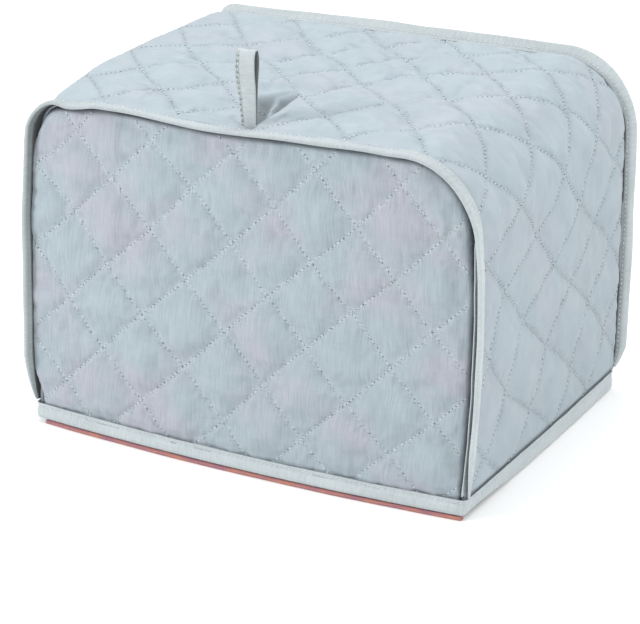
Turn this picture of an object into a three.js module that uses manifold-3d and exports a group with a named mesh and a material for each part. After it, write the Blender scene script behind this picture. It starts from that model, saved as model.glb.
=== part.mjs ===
// Quilted cloth cover for a two-slice toaster: two arched end panels, one gusset band, bound seams,
// a bound hem, a narrow facing edge under the front hem and a hanging loop. Millimetres, +Z up.
import * as THREE from 'three';
import { mergeVertices } from 'three/addons/utils/BufferGeometryUtils.js';
import Module from 'manifold-3d';

const wasm = await Module();
wasm.setup();

// Driving sizes of the cover, measured to the flat cloth between the quilting crowns
const WIDTH = 278;
const DEPTH = 205;
const HEIGHT = 203;
const CLOTH = 3;
const GAP = 0.3;
const SEAM_GAP = 0.35;
const HALF_WIDTH = WIDTH / 2;
const HALF_DEPTH = DEPTH / 2;

// Shoulder radii of the arch: the left one is a tight fold that opens towards the front seam
const LEFT_RADIUS = 14;
const LEFT_RADIUS_FRONT = 20;
const LEFT_RADIUS_REACH = 60;
const RIGHT_RADIUS = 41;

// Quilting: height of the crowns and the diamond pitch and centre of each cloth
const QUILT_RISE = 2.4;
const CELLS_PER_HALF = 3;
const PANEL_QUILT = { centre: [18, 110], pitch: [51.3, 53.3] };
const GUSSET_QUILT = { centre: [262.4, -1.8], pitch: [50, 60] };
const EDGE_FLAT = 1;
const EDGE_FADE = 14;

// Rows of the gusset's plain inner face, closer where it meets the front panel
const GUSSET_INNER_ROWS = [-HALF_DEPTH, -92, -72, -40, 0, 40, 75, HALF_DEPTH];

// The front panel fills out between its bindings, the back one stands inside the gusset: inset from
// the arch and how far the face stands in front of the seam
const FRONT_PANEL = { inset: 4.7, ahead: 3.5 };
const BACK_PANEL = { inset: 3.9, ahead: -2.5 };

// Seam bindings: reach, thickness and the taper over the last stretch above the hem
const BINDING_REACH = 9.5;
const BINDING_THICK = 2.8;
const BINDING_TAPER = 18;
const BINDING_FOOT = 9.5;

// Hem binding and the facing edge that shows below its front
const HEM_HEIGHT = 11.5;
const HEM_THICK = 5.5;
const HEM_PROUD = 1;
const HEM_CORNER = 6.5;
const HEM_AHEAD = 5;
const FRONT_LIFT = 2.5;
const FACING_HEIGHT = 2.2;
const FACING_DEPTH = 4;
const FACING_HALF = 129.5;

// Hanging loop of doubled ribbon, sewn into the front top seam
const LOOP_X = -2;
const LOOP_SETBACK = 2.8;
const LOOP_WIDTH = 12;
const RIBBON = 1.3;
const LOOP_FOOT = 1;
// Rows of height above the foot and half thickness of the loop there
const LOOP_OUTLINE = [
  [0, 1.5], [4.5, 1.6], [9.5, 2.6], [16, 3.9], [23, 4.9], [30, 5.2],
  [35.5, 4.6], [39.5, 3.4], [42, 1.8],
];
const LOOP_TIP = 43;

// Colours of the cloth and the trims
const COLOURS = {
  panel: 0xb8c3cd,
  gusset: 0xc2d0d9,
  binding: 0xb9c3c7,
  hem: 0xb4c0c7,
  loop: 0xbbc6c9,
  facing: 0x9d7a78,
};

const clamp = (value, low, high) => Math.min(high, Math.max(low, value));

function smooth(value) {
  const t = clamp(value, 0, 1);
  return t * t * (3 - 2 * t);
}

// Straight-line reading of a short table of [position, value] rows
function readTable(rows, x) {
  if (x <= rows[0][0]) return rows[0][1];
  for (let i = 1; i < rows.length; i += 1) {
    const [x0, y0] = rows[i - 1];
    const [x1, y1] = rows[i];
    if (x <= x1) return y0 + ((y1 - y0) * (x - x0)) / (x1 - x0);
  }
  return rows[rows.length - 1][1];
}

// Radius of a shoulder at depth y
function shoulderRadius(side, y) {
  if (side > 0) return RIGHT_RADIUS;
  const open = 1 - smooth((y + HALF_DEPTH) / LEFT_RADIUS_REACH);
  return LEFT_RADIUS + (LEFT_RADIUS_FRONT - LEFT_RADIUS) * open;
}

// Length round the arch from the top centre down to the floor
function halfLength(radius) {
  return HALF_WIDTH - radius + (Math.PI * radius) / 2 + HEIGHT - radius;
}

const LEFT_LENGTH = halfLength(LEFT_RADIUS);
const RIGHT_LENGTH = halfLength(RIGHT_RADIUS);

// Stretches of the arch that bend, as distances from the top centre
const LEFT_BEND = [-160, -(HALF_WIDTH - LEFT_RADIUS_FRONT)];
const RIGHT_BEND = [HALF_WIDTH - RIGHT_RADIUS, 163];

// Point of the arch at distance s from the top centre, moved outwards by rho
function archPoint(s, y, rho) {
  const side = s < 0 ? -1 : 1;
  const radius = shoulderRadius(side, y);
  const nominal = side < 0 ? LEFT_LENGTH : RIGHT_LENGTH;
  const along = (Math.abs(s) * halfLength(radius)) / nominal;
  const flat = HALF_WIDTH - radius;
  const angle = clamp((along - flat) / radius, 0, Math.PI / 2);
  const down = Math.max(0, along - flat - (Math.PI * radius) / 2);
  const x = Math.min(along, flat) + (radius + rho) * Math.sin(angle);
  const z = HEIGHT - radius - down + (radius + rho) * Math.cos(angle);
  return [side * x, z];
}

// One pucker runs back from the front top seam beside the loop: a trough with a ridge at its right
const PUCKER = { from: [8, -104], to: [-4, -40], width: 8, trough: 4, ridge: 3.2, ridgeOffset: 12 };

function puckerHeight(x, y) {
  const [x0, y0] = PUCKER.from;
  const [dx, dy] = [PUCKER.to[0] - x0, PUCKER.to[1] - y0];
  const length = Math.hypot(dx, dy);
  const along = ((x - x0) * dx + (y - y0) * dy) / (length * length);
  const across = ((x - x0) * dy - (y - y0) * dx) / length;
  const envelope = smooth((along - 0.09) / 0.3) * (1 - smooth((along - 0.55) / 0.6));
  const trough = Math.exp(-((across / PUCKER.width) ** 2));
  const ridge = Math.exp(-(((across - PUCKER.ridgeOffset) / PUCKER.width) ** 2));
  return envelope * (PUCKER.ridge * ridge - PUCKER.trough * trough);
}

// Moves the cover so that its box stands centred over the origin
const CENTRE_SHIFT = [0.25, 0.75];

// The foot of the front flares out over the hem, most at its left corner
const FOOT_FLARE = 2.5;
const CORNER_FLARE = 3;

// How the soft cover settles: the front leans back and bows out, the sides bulge, the top sags and
// crowns. The floor plane stays flat.
function settle([x, y, z]) {
  const u = clamp(x / HALF_WIDTH, -1.05, 1.05);
  const v = clamp(y / HALF_DEPTH, -1.1, 1.1);
  const w = clamp(z / HEIGHT, 0, 1.25);
  const low = Math.min(w, 1);
  const front = ((1 - v) / 2) ** 2;
  const back = ((1 + v) / 2) ** 2;
  const middle = Math.max(0, 1 - u * u);
  const inner = Math.max(0, 1 - v * v);
  const bulge = 1.0 * inner + 2.6 * (1 - 0.55 * v) * Math.sin(Math.PI * low);
  const lean = 4.5 * low - (5.5 * (1 - w) + 2 * w) * middle * 1.15;
  const flare = front * (1 - low) ** 3.5;
  const sag = 1.3 * smooth((x + 20) / 100) - 1.8 * Math.exp(-(((x + 20) / 45) ** 2));
  const crown = 2 * middle * inner * w ** 4 + 1.3 * u * back * w * w;
  const pucker = puckerHeight(x, y) * smooth((z - HEIGHT + 12) / 8) * (z < HEIGHT + 4 ? 1 : 0);
  return [
    x + u ** 3 * bulge - CORNER_FLARE * flare * Math.max(0, -u) + CENTRE_SHIFT[0],
    y + lean * front - FOOT_FLARE * flare + 2.5 * middle * back + CENTRE_SHIFT[1],
    z + sag * front * w * w + crown + pucker,
  ];
}

// Crown height of the quilting at a point of the flat cloth, fading out towards the seams
function quiltHeight(quilt, a, b, edge) {
  const p = (a - quilt.centre[0]) / quilt.pitch[0];
  const q = (b - quilt.centre[1]) / quilt.pitch[1];
  const hump = Math.abs(Math.sin(Math.PI * (p + q)) * Math.sin(Math.PI * (p - q)));
  return QUILT_RISE * Math.sqrt(hump) * smooth((edge - EDGE_FLAT) / EDGE_FADE);
}

// Grid lines on the stitch lattice between two ends, with extra lines where `finer` asks for them
function latticeLines(centre, pitch, low, high, finer) {
  const step = pitch / (2 * CELLS_PER_HALF);
  const lines = [low];
  const first = Math.ceil((low + 1.5 - centre) / step);
  for (let i = first; centre + i * step < high - 1.5; i += 1) lines.push(centre + i * step);
  lines.push(high);
  const all = [];
  for (let i = 0; i + 1 < lines.length; i += 1) {
    const parts = finer ? finer(lines[i], lines[i + 1]) : 1;
    for (let k = 0; k < parts; k += 1) all.push(lines[i] + ((lines[i + 1] - lines[i]) * k) / parts);
  }
  all.push(high);
  return all;
}

// Every nth line of a list, keeping both ends
function thinLines(lines, every) {
  const last = lines.length - 1;
  return lines.filter((line, i) => i === last || (i % every === 0 && last - i >= every / 2));
}

// Triangle list over named points, welded by their position
class Shell {
  constructor() {
    this.points = [];
    this.faces = [];
  }

  add(point) {
    this.points.push(point);
    return this.points.length - 1;
  }

  quad(a, b, c, d, otherDiagonal) {
    if (otherDiagonal) this.faces.push([a, b, d], [b, c, d]);
    else this.faces.push([a, b, c], [a, c, d]);
  }

  // Joins two rows of points of different counts along their shared direction
  zip(upper, lower, position, reversed) {
    let i = 0;
    let j = 0;
    while (i + 1 < upper.length || j + 1 < lower.length) {
      const nextUpper = i + 1 < upper.length ? position(upper[i + 1]) : Infinity;
      const nextLower = j + 1 < lower.length ? position(lower[j + 1]) : Infinity;
      const third = nextUpper <= nextLower ? upper[i + 1] : lower[j + 1];
      this.faces.push(reversed ? [upper[i], third, lower[j]] : [upper[i], lower[j], third]);
      if (nextUpper <= nextLower) i += 1;
      else j += 1;
    }
  }

  geometry(flip) {
    const geometry = new THREE.BufferGeometry();
    geometry.setAttribute('position', new THREE.Float32BufferAttribute(this.points.flat(), 3));
    const index = this.faces.map((face) => (flip ? [face[0], face[2], face[1]] : face));
    geometry.setIndex(index.flat());
    return geometry;
  }
}

// Cloth slab over a grid: quilted outer face at `rise`, plain inner face one cloth below
function clothSlab(aLines, bLines, innerLines, rise) {
  const shell = new Shell();
  const outer = aLines.map((a) => bLines.map((b) => shell.add([a, b, rise(a, b)])));
  const inner = aLines.map((a) => innerLines.map((b) => shell.add([a, b, -CLOTH])));
  const lastA = aLines.length - 1;
  const place = (index) => shell.points[index][1];
  for (let i = 0; i < lastA; i += 1) {
    for (let j = 0; j + 1 < bLines.length; j += 1) {
      const corners = [outer[i][j], outer[i + 1][j], outer[i + 1][j + 1], outer[i][j + 1]];
      const [h0, h1, h2, h3] = corners.map((index) => shell.points[index][2]);
      const mid = rise((aLines[i] + aLines[i + 1]) / 2, (bLines[j] + bLines[j + 1]) / 2);
      const other = Math.abs(h1 + h3 - 2 * mid) < Math.abs(h0 + h2 - 2 * mid);
      shell.quad(...corners, other);
    }
    for (let j = 0; j + 1 < innerLines.length; j += 1) {
      shell.quad(inner[i][j], inner[i][j + 1], inner[i + 1][j + 1], inner[i + 1][j], false);
    }
    const endB = bLines.length - 1;
    const endInner = innerLines.length - 1;
    shell.quad(inner[i][0], inner[i + 1][0], outer[i + 1][0], outer[i][0], false);
    shell.quad(outer[i][endB], outer[i + 1][endB], inner[i + 1][endInner], inner[i][endInner], false);
  }
  shell.zip(outer[0], inner[0], place, true);
  shell.zip(outer[lastA], inner[lastA], place, false);
  return shell;
}

// Bare indexed copy of a geometry with its double points welded
function weld(geometry) {
  const plain = geometry.clone();
  plain.deleteAttribute('normal');
  plain.deleteAttribute('uv');
  return mergeVertices(plain, 1e-4);
}

function toManifold(geometry) {
  const merged = weld(geometry);
  return new wasm.Manifold(new wasm.Mesh({
    numProp: 3,
    vertProperties: new Float32Array(merged.attributes.position.array),
    triVerts: new Uint32Array(merged.index.array),
  }));
}

function fromManifold(solid) {
  const mesh = solid.getMesh();
  const geometry = new THREE.BufferGeometry();
  geometry.setAttribute('position', new THREE.Float32BufferAttribute(mesh.vertProperties, 3));
  geometry.setIndex(Array.from(mesh.triVerts));
  return geometry;
}

// Moves every point of a geometry through `map`, turning the faces over when the map mirrors them
function mapGeometry(geometry, map, mirrored) {
  const position = geometry.attributes.position;
  for (let i = 0; i < position.count; i += 1) {
    position.setXYZ(i, ...map([position.getX(i), position.getY(i), position.getZ(i)]));
  }
  if (mirrored) {
    const index = geometry.index;
    for (let i = 0; i < index.count; i += 3) {
      const keep = index.getX(i + 1);
      index.setX(i + 1, index.getX(i + 2));
      index.setX(i + 2, keep);
    }
  }
  geometry.computeVertexNormals();
  return geometry;
}

// Distance of a panel point inside its outline
function insideDistance(x, z, y, inset) {
  const radius = shoulderRadius(x < 0 ? -1 : 1, y);
  const dx = Math.abs(x) - (HALF_WIDTH - radius);
  const dz = z - (HEIGHT - radius);
  const corner = dx > 0 && dz > 0 ? radius - Math.hypot(dx, dz) : Infinity;
  return Math.min(HALF_WIDTH - Math.abs(x), HEIGHT - z, corner) - inset;
}

// Distances round the arch from low to high, closer together where it bends
function archStations(low, high, bendStep, straightStep) {
  const marks = [low];
  let s = low;
  while (s < high - straightStep / 3) {
    const inLeft = s > LEFT_BEND[0] - 4 && s < LEFT_BEND[1];
    const inRight = s > RIGHT_BEND[0] - 6 && s < RIGHT_BEND[1];
    s += inLeft || inRight ? bendStep : straightStep;
    marks.push(Math.min(s, high));
  }
  marks[marks.length - 1] = high;
  return marks;
}

// Outline of an end panel in its own plane, inset from the gusset
function panelOutline(y, inset) {
  const outline = new THREE.Shape();
  const bottom = HEM_HEIGHT + GAP;
  const [leftX] = archPoint(-LEFT_LENGTH, y, -inset);
  const [rightX] = archPoint(RIGHT_LENGTH, y, -inset);
  const bottomSteps = 16;
  outline.moveTo(leftX, bottom);
  for (let i = 1; i <= bottomSteps; i += 1) {
    outline.lineTo(leftX + ((rightX - leftX) * i) / bottomSteps, bottom);
  }
  for (const s of archStations(-LEFT_LENGTH, RIGHT_LENGTH, 5, 17).reverse()) {
    const [x, z] = archPoint(s, y, -inset);
    if (z > bottom + 4) outline.lineTo(x, z);
  }
  outline.closePath();
  return outline;
}

// End panel: quilted slab trimmed to the arch, stood up at the front (-1) or the back (+1)
function endPanel(side, { inset, ahead }) {
  const edgeY = side * HALF_DEPTH;
  const { centre, pitch } = PANEL_QUILT;
  const xLines = latticeLines(centre[0], pitch[0], -HALF_WIDTH - 6, HALF_WIDTH + 6);
  const zLines = latticeLines(centre[1], pitch[1], 0, HEIGHT + 6);
  const rise = (x, z) => quiltHeight(PANEL_QUILT, x, z, insideDistance(x, z, edgeY, inset));
  const slab = clothSlab(xLines, zLines, thinLines(zLines, 3), rise);
  const prism = new THREE.ExtrudeGeometry(panelOutline(edgeY, inset), { depth: 20, bevelEnabled: false });
  prism.translate(0, 0, -10);
  const stand = ([x, z, h]) => settle([x, side * (HALF_DEPTH + ahead + h), z]);
  const cloth = mapGeometry(slab.geometry(false), stand, side > 0);
  const cutter = mapGeometry(weld(prism), stand, side > 0);
  const trimmed = fromManifold(toManifold(cloth).intersect(toManifold(cutter)));
  trimmed.computeVertexNormals();
  return trimmed;
}

// Gusset band: left side, top and right side in one length of cloth
function gusset() {
  const { centre, pitch } = GUSSET_QUILT;
  const low = -LEFT_LENGTH + HEM_HEIGHT + 2 * GAP;
  const high = RIGHT_LENGTH - HEM_HEIGHT - GAP;
  const finer = (a, b) => {
    if (b > LEFT_BEND[0] && a < LEFT_BEND[1]) return 3;
    return b > RIGHT_BEND[0] && a < RIGHT_BEND[1] ? 2 : 1;
  };
  const sLines = latticeLines(centre[0], pitch[0], low, high, finer);
  const yLines = latticeLines(centre[1], pitch[1], -HALF_DEPTH, HALF_DEPTH);
  const rise = (s, y) => {
    const edge = Math.min(HALF_DEPTH - Math.abs(y), s - low, high - s);
    return quiltHeight(GUSSET_QUILT, s, y, edge);
  };
  const slab = clothSlab(sLines, yLines, GUSSET_INNER_ROWS, rise);
  const bend = ([s, y, h]) => {
    const [x, z] = archPoint(s, y, h);
    return settle([x, y, z]);
  };
  return mapGeometry(slab.geometry(false), bend, false);
}

// Sweeps a ring of section points along stations; closed sweeps join the last to the first
function sweep(stations, section, closed) {
  const shell = new Shell();
  const rings = stations.map((station) => section(station).map((point) => shell.add(settle(point))));
  const count = rings[0].length;
  const spans = closed ? rings.length : rings.length - 1;
  for (let i = 0; i < spans; i += 1) {
    const next = rings[(i + 1) % rings.length];
    for (let k = 0; k < count; k += 1) {
      const l = (k + 1) % count;
      shell.quad(rings[i][k], rings[i][l], next[l], next[k], false);
    }
  }
  if (!closed) {
    const last = rings[rings.length - 1];
    for (let k = 1; k + 1 < count; k += 1) {
      shell.faces.push([rings[0][0], rings[0][k + 1], rings[0][k]]);
      shell.faces.push([last[0], last[k], last[k + 1]]);
    }
  }
  return shell;
}

// Turns a shell into a geometry with its faces outwards
function outward(shell) {
  let volume = 0;
  for (const [a, b, c] of shell.faces) {
    const [p, q, r] = [a, b, c].map((index) => new THREE.Vector3(...shell.points[index]));
    volume += p.dot(q.cross(r));
  }
  const geometry = shell.geometry(volume < 0);
  geometry.computeVertexNormals();
  return geometry;
}

// Outward lean of each seam binding in degrees, by distance s round the arch
const FRONT_LEAN = [
  [-LEFT_LENGTH, 5], [-LEFT_LENGTH + 24, 28], [-200, 20], [-150, 20], [-128, 12], [-110, 3],
  [90, 3], [150, -12], [RIGHT_LENGTH, -15],
];
const BACK_LEAN = [
  [-LEFT_LENGTH, 30], [-150, 30], [-120, 5], [-60, 8], [40, 22], [90, 45], [130, 50], [230, 42],
  [RIGHT_LENGTH, 35],
];
// Rounded section of a binding: share of the reach and share of the thickness
const BINDING_SECTION = [
  [0, -0.5], [0, 0.5], [0.5, 0.5], [0.86, 0.48], [1, 0.28], [1, -0.28], [0.86, -0.48], [0.5, -0.5],
];

// Seam binding standing off the front (-1) or back (+1) edge of the gusset
function seamBinding(side, leanTable, footRho) {
  const edgeY = side * HALF_DEPTH;
  const low = -LEFT_LENGTH + HEM_HEIGHT + GAP + 0.4;
  const high = RIGHT_LENGTH - HEM_HEIGHT - GAP - 0.4;
  const section = (s) => {
    const lean = THREE.MathUtils.degToRad(readTable(leanTable, s));
    const [, floor] = archPoint(s, edgeY, 0);
    const reach = BINDING_REACH * clamp((floor - BINDING_FOOT) / BINDING_TAPER, 0.3, 1);
    const thick = BINDING_THICK * clamp((floor - BINDING_FOOT) / BINDING_TAPER, 0.6, 1);
    return BINDING_SECTION.map(([along, across]) => {
      const turn = lean * Math.min(1, along * 2);
      const out = footRho + along * reach * Math.sin(lean) + across * thick * Math.cos(turn);
      const ahead = SEAM_GAP + along * reach * Math.cos(lean) - across * thick * Math.sin(turn);
      const [x, z] = archPoint(s, edgeY, out);
      return [x, edgeY + side * Math.max(SEAM_GAP, ahead), z];
    });
  };
  return outward(sweep(archStations(low, high, 4.2, 10), section, false));
}

// Stations round the foot of the cover: [x, y, outward x, outward y, lifted]
function hemStations() {
  const halfX = HALF_WIDTH + HEM_PROUD;
  const straightX = halfX - HEM_CORNER;
  const frontY = -(HALF_DEPTH + HEM_AHEAD);
  const straightFront = frontY + HEM_CORNER;
  const straightY = HALF_DEPTH - HEM_CORNER;
  const stations = [];
  const corner = (cx, cy, start) => {
    for (let k = 0; k <= 4; k += 1) {
      const angle = THREE.MathUtils.degToRad(start + k * 22.5);
      const [nx, ny] = [Math.cos(angle), Math.sin(angle)];
      stations.push([cx + HEM_CORNER * nx, cy + HEM_CORNER * ny, nx, ny, false]);
    }
  };
  const run = (from, to, nx, ny, lifted) => {
    const steps = Math.ceil(Math.hypot(to[0] - from[0], to[1] - from[1]) / 16);
    for (let k = 1; k < steps; k += 1) {
      const t = k / steps;
      stations.push([from[0] + (to[0] - from[0]) * t, from[1] + (to[1] - from[1]) * t, nx, ny, lifted]);
    }
  };
  corner(-straightX, straightFront, 180);
  stations.push([-straightX + 2.5, frontY, 0, -1, true]);
  run([-straightX, frontY], [straightX, frontY], 0, -1, true);
  stations.push([straightX - 2.5, frontY, 0, -1, true]);
  corner(straightX, straightFront, 270);
  run([halfX, straightFront], [halfX, straightY], 1, 0, false);
  corner(straightX, straightY, 0);
  run([straightX, HALF_DEPTH], [-straightX, HALF_DEPTH], 0, 1, false);
  corner(-straightX, straightY, 90);
  run([-halfX, straightY], [-halfX, straightFront], -1, 0, false);
  return stations;
}

// Hem binding: a closed ring of folded tape, lifted a little along the front
function hemBinding() {
  const soft = 0.9;
  const section = ([x, y, nx, ny, lifted]) => {
    const foot = lifted ? FRONT_LIFT : 0;
    const profile = [
      [soft, foot], [0, foot + soft], [0, HEM_HEIGHT - soft], [soft, HEM_HEIGHT],
      [HEM_THICK - soft, HEM_HEIGHT], [HEM_THICK, HEM_HEIGHT - soft],
      [HEM_THICK, foot + soft], [HEM_THICK - soft, foot],
    ];
    return profile.map(([inwards, z]) => [x - nx * inwards, y - ny * inwards, z]);
  };
  return outward(sweep(hemStations(), section, true));
}

// Narrow edge of the facing that shows below the front hem
function facingEdge() {
  const stations = [];
  for (let k = 0; k <= 24; k += 1) stations.push(-FACING_HALF + (2 * FACING_HALF * k) / 24);
  const near = -(HALF_DEPTH + HEM_AHEAD) + 0.6;
  const far = near + FACING_DEPTH;
  const top = FACING_HEIGHT;
  const section = (x) => [
    [x, near + 0.4, 0], [x, near, 0.5], [x, near, top - 0.5], [x, near + 0.5, top],
    [x, far, top], [x, far, 0],
  ];
  return outward(sweep(stations, section, false));
}

// Hanging loop: a teardrop of ribbon with its eye facing sideways
function hangingLoop() {
  const outline = new THREE.Shape();
  const eye = new THREE.Path();
  const right = LOOP_OUTLINE.map(([h, half]) => [half, h]);
  const left = LOOP_OUTLINE.map(([h, half]) => [-half, h]).reverse();
  const ring = [...right, [0, LOOP_TIP], ...left];
  outline.setFromPoints(ring.map(([a, b]) => new THREE.Vector2(a, b)));
  const openRows = LOOP_OUTLINE.filter(([h, half]) => half > RIBBON + 0.9 && h < 46);
  const eyeRight = openRows.map(([h, half]) => [half - RIBBON, h]);
  const eyeLeft = eyeRight.map(([a, b]) => [-a, b]).reverse();
  const eyeRing = [[0, 7.5], ...eyeRight, [0, LOOP_TIP - RIBBON - 0.6], ...eyeLeft];
  eye.setFromPoints(eyeRing.map(([a, b]) => new THREE.Vector2(a, b)));
  outline.holes.push(eye);
  const extrude = { depth: LOOP_WIDTH, steps: 2, bevelEnabled: false };
  const plain = fromManifold(toManifold(new THREE.ExtrudeGeometry(outline, extrude)));
  const foot = HEIGHT + LOOP_FOOT;
  const stand = ([a, b, c]) => settle([
    LOOP_X + c - LOOP_WIDTH / 2,
    -HALF_DEPTH + LOOP_SETBACK + a,
    foot + b,
  ]);
  return mapGeometry(plain, stand, false);
}

function addPiece(group, name, geometry, colour, roughness) {
  const material = new THREE.MeshStandardMaterial({ color: colour, roughness, metalness: 0 });
  material.name = `${name}_cloth`;
  const mesh = new THREE.Mesh(geometry, material);
  mesh.name = name;
  group.add(mesh);
}

const cover = new THREE.Group();
cover.name = 'toaster_cover';
addPiece(cover, 'front_panel', endPanel(-1, FRONT_PANEL), COLOURS.panel, 0.95);
addPiece(cover, 'back_panel', endPanel(1, BACK_PANEL), COLOURS.panel, 0.95);
addPiece(cover, 'gusset', gusset(), COLOURS.gusset, 0.95);
addPiece(cover, 'front_binding', seamBinding(-1, FRONT_LEAN, -2), COLOURS.binding, 0.9);
addPiece(cover, 'back_binding', seamBinding(1, BACK_LEAN, -1.5), COLOURS.binding, 0.9);
addPiece(cover, 'hem_binding', hemBinding(), COLOURS.hem, 0.9);
addPiece(cover, 'facing_edge', facingEdge(), COLOURS.facing, 0.95);
addPiece(cover, 'hanging_loop', hangingLoop(), COLOURS.loop, 0.9);

export default cover;
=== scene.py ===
"""Fitted cover of quilted cloth, laid out as a Blender add-on.

Two arched end panels and one gusset band of quilted cloth, bound seams, a bound hem, the edge of a
facing under the front hem and a hanging loop. Sizes inside the shape code are millimetres in the
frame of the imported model, and every mesh is written in metres.
"""
import math

import bpy
import numpy as np
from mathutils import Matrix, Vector


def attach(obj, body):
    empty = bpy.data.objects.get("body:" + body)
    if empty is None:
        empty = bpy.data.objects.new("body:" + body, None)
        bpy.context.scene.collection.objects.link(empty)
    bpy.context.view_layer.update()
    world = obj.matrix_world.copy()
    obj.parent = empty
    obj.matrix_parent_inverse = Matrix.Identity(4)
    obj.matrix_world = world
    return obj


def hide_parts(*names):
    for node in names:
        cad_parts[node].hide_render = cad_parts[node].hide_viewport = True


bl_info = {
    "name": "Quilted Cover",
    "version": (1, 0, 0),
    "blender": (4, 5, 0),
    "location": "3D View > Sidebar > Cover",
    "description": "Builds a fitted quilted cover with bound seams, a bound hem and a hanging loop",
    "category": "Add Mesh",
}

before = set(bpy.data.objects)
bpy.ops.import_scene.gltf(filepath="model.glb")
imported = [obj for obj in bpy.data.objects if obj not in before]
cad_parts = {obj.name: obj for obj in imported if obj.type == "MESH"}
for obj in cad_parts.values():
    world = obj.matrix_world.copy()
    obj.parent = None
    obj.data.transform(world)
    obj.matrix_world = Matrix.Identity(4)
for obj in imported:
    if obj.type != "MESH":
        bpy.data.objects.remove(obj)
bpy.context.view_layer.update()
MM = 0.001

# How far the frame's centre lies from the sewn shape's own centre, in x and y
CENTRE_SHIFT = (0.25, 0.75)

# How the soft cover stands: lean of the front, bulge of the sides, sag and dip of the front top edge,
# crown of the top, and lift of the cloth above the hem
FRONT_LEAN = 4.5
SIDE_BULGE = 2.6
TOP_SAG = 1.3
TOP_DIP = 1.8
TOP_CROWN = 2.0
CLOTH_LIFT = 1.4

# Grid cells on each side of a diamond, and the coarser step of the lining
CELLS_PER_HALF = 20
LINING_STEP = 3

# Part of a cell within which a grid point is drawn to the outline, how far from the outline the stitch
# lines end, and the fewest steps of a line
SNAP_SHARE = 0.45
STITCH_MARGIN = 2.0
SHORTEST_LINE = 6

# Cloth simulation between the stitch lines: grid cells on each side of a diamond, frames, enlargement,
# the heights that the cloth may reach, and its settings. It is cut wider than its held lines.
DRAPE_CELLS = 7
DRAPE_FRAMES = 20
DRAPE_SCALE = 0.01
DRAPE_LIMITS = (-1.6, 4.2)
DRAPE_SETTINGS = {
    "quality": 5,
    "mass": 0.3,
    "tension_stiffness": 15,
    "compression_stiffness": 15,
    "shear_stiffness": 5,
    "bending_stiffness": 0.05,
    "vertex_group_mass": "held",
    "shrink_min": -0.045,
    "use_pressure": True,
    "uniform_pressure_force": 1.5,
}

# How far a measured crossing pulls its neighbours, in diamonds, and how softly it holds
WARP_REACH = 1.0
WARP_SOFTNESS = 0.05

# Crossings of the stitch lines on the front panel: diamond column, diamond row, x, height
PANEL_CROSSINGS = (
    (-2, -1, -93, 56), (-1, -1, -37.7, 55.7), (0, -1, 14.7, 56.3), (1, -1, 66.3, 54), (2, -1, 118, 53),
    (-2, 0, -89.7, 108), (-1, 0, -37, 109), (0, 0, 16.3, 109), (1, 0, 68, 108), (2, 0, 114.7, 104.7),
    (-2, 1, -87, 159.7), (-1, 1, -33.7, 164.7), (0, 1, 19.7, 161.3), (1, 1, 69.7, 156.3),
    (2, 1, 119.7, 158), (-2.5, 0.5, -110.3, 136.3), (-1.5, 0.5, -60.3, 133), (-0.5, 0.5, -7, 134.7),
    (0.5, 0.5, 43, 131.3), (1.5, 0.5, 93, 129.7), (-2.5, -0.5, -114.3, 82), (-1.5, -0.5, -66, 81.3),
    (-0.5, -0.5, -11, 82), (0.5, -0.5, 41.3, 82), (1.5, -0.5, 92.3, 79.7), (-0.5, -1.5, -11, 29),
    (0.5, -1.5, 39.7, 29), (1.5, -1.5, 93, 31.3), (-1.5, 1.5, -60.3, 186.3), (-0.5, 1.5, -7, 188),
    (0.5, 1.5, 44.7, 184.7),
)

# Crossings on the gusset: diamond column, diamond row, distance round the arch, depth
GUSSET_CROSSINGS = (
    (-7, -1, -108, -41), (-7, 0, -108.3, 13.7), (-6.5, -1.5, -75, -71.3), (-6.5, 0.5, -78.3, 32),
    (-5.5, 0.5, -25, 31.3), (-5, 0, 0, 15.3), (-4.5, -0.5, 23.3, -13), (-4.5, -1.5, 31.7, -71.3),
    (-4, 0, 45, 22.7), (-4, -1, 53.3, -33), (-3.5, -1.5, 85, -69.7), (-3.5, -0.5, 78.3, -13),
    (-3.5, 0.5, 75, 45.3), (-3, 0, 105, 12), (-3, 1, 101.7, 67), (-2.5, 0.5, 130, 40.3),
    (-2.5, -1.5, 136.7, -78), (-2, 1, 151.7, 60.3), (-2, -1, 160, -51.3), (-1.5, 0.5, 183.3, 30.3),
    (-1.5, -0.5, 185, -26.3), (-1.5, -1.5, 181.7, -94.7), (-1, 0, 210, -4.7), (-1, 1, 203.3, 58.7),
    (-1, -1, 203.3, -71.3), (-0.5, 0.5, 228.3, 22), (-0.5, -0.5, 228.3, -44.7), (-0.5, -1.5, 236.7, -89.7),
    (0, 1, 251.7, 52), (0, 0, 256.7, -9.7), (0, -1, 265, -64.7), (0.5, 0.5, 285, 32),
    (0.5, -0.5, 288.3, -26.3),
)

# Seam bindings: distance round the arch, outward lean in degrees, foot outside the arch, outward bow
FRONT_SEAM = (
    (-336, 6, 0.3, 1.0), (-312, 11, 0.6, 1.2), (-200, 11, 0.6, 1.2), (-164, 13, 0.6, 0.9),
    (-149, 26, 0.8, 1.2), (-136, 15, 0.3, 0.4), (-122, 6, -0.9, 0), (-105, 3, -2, 0), (90, 3, -2, 0),
    (140, 4, -0.6, 0), (185, 12, 0.9, 0.2), (290, 12, 0.9, 0.2), (324, 5, 0.9, 0),
)
BACK_SEAM = (
    (-336, 30, -1.5, 0), (-150, 30, -1.5, 0), (-120, 28, -1.5, 0), (-60, 30, -1.5, 0), (40, 36, -1.5, 0),
    (90, 46, -1.5, 0), (130, 50, -1.5, 0), (230, 42, -1.5, 0), (324, 35, -1.5, 0),
)

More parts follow.
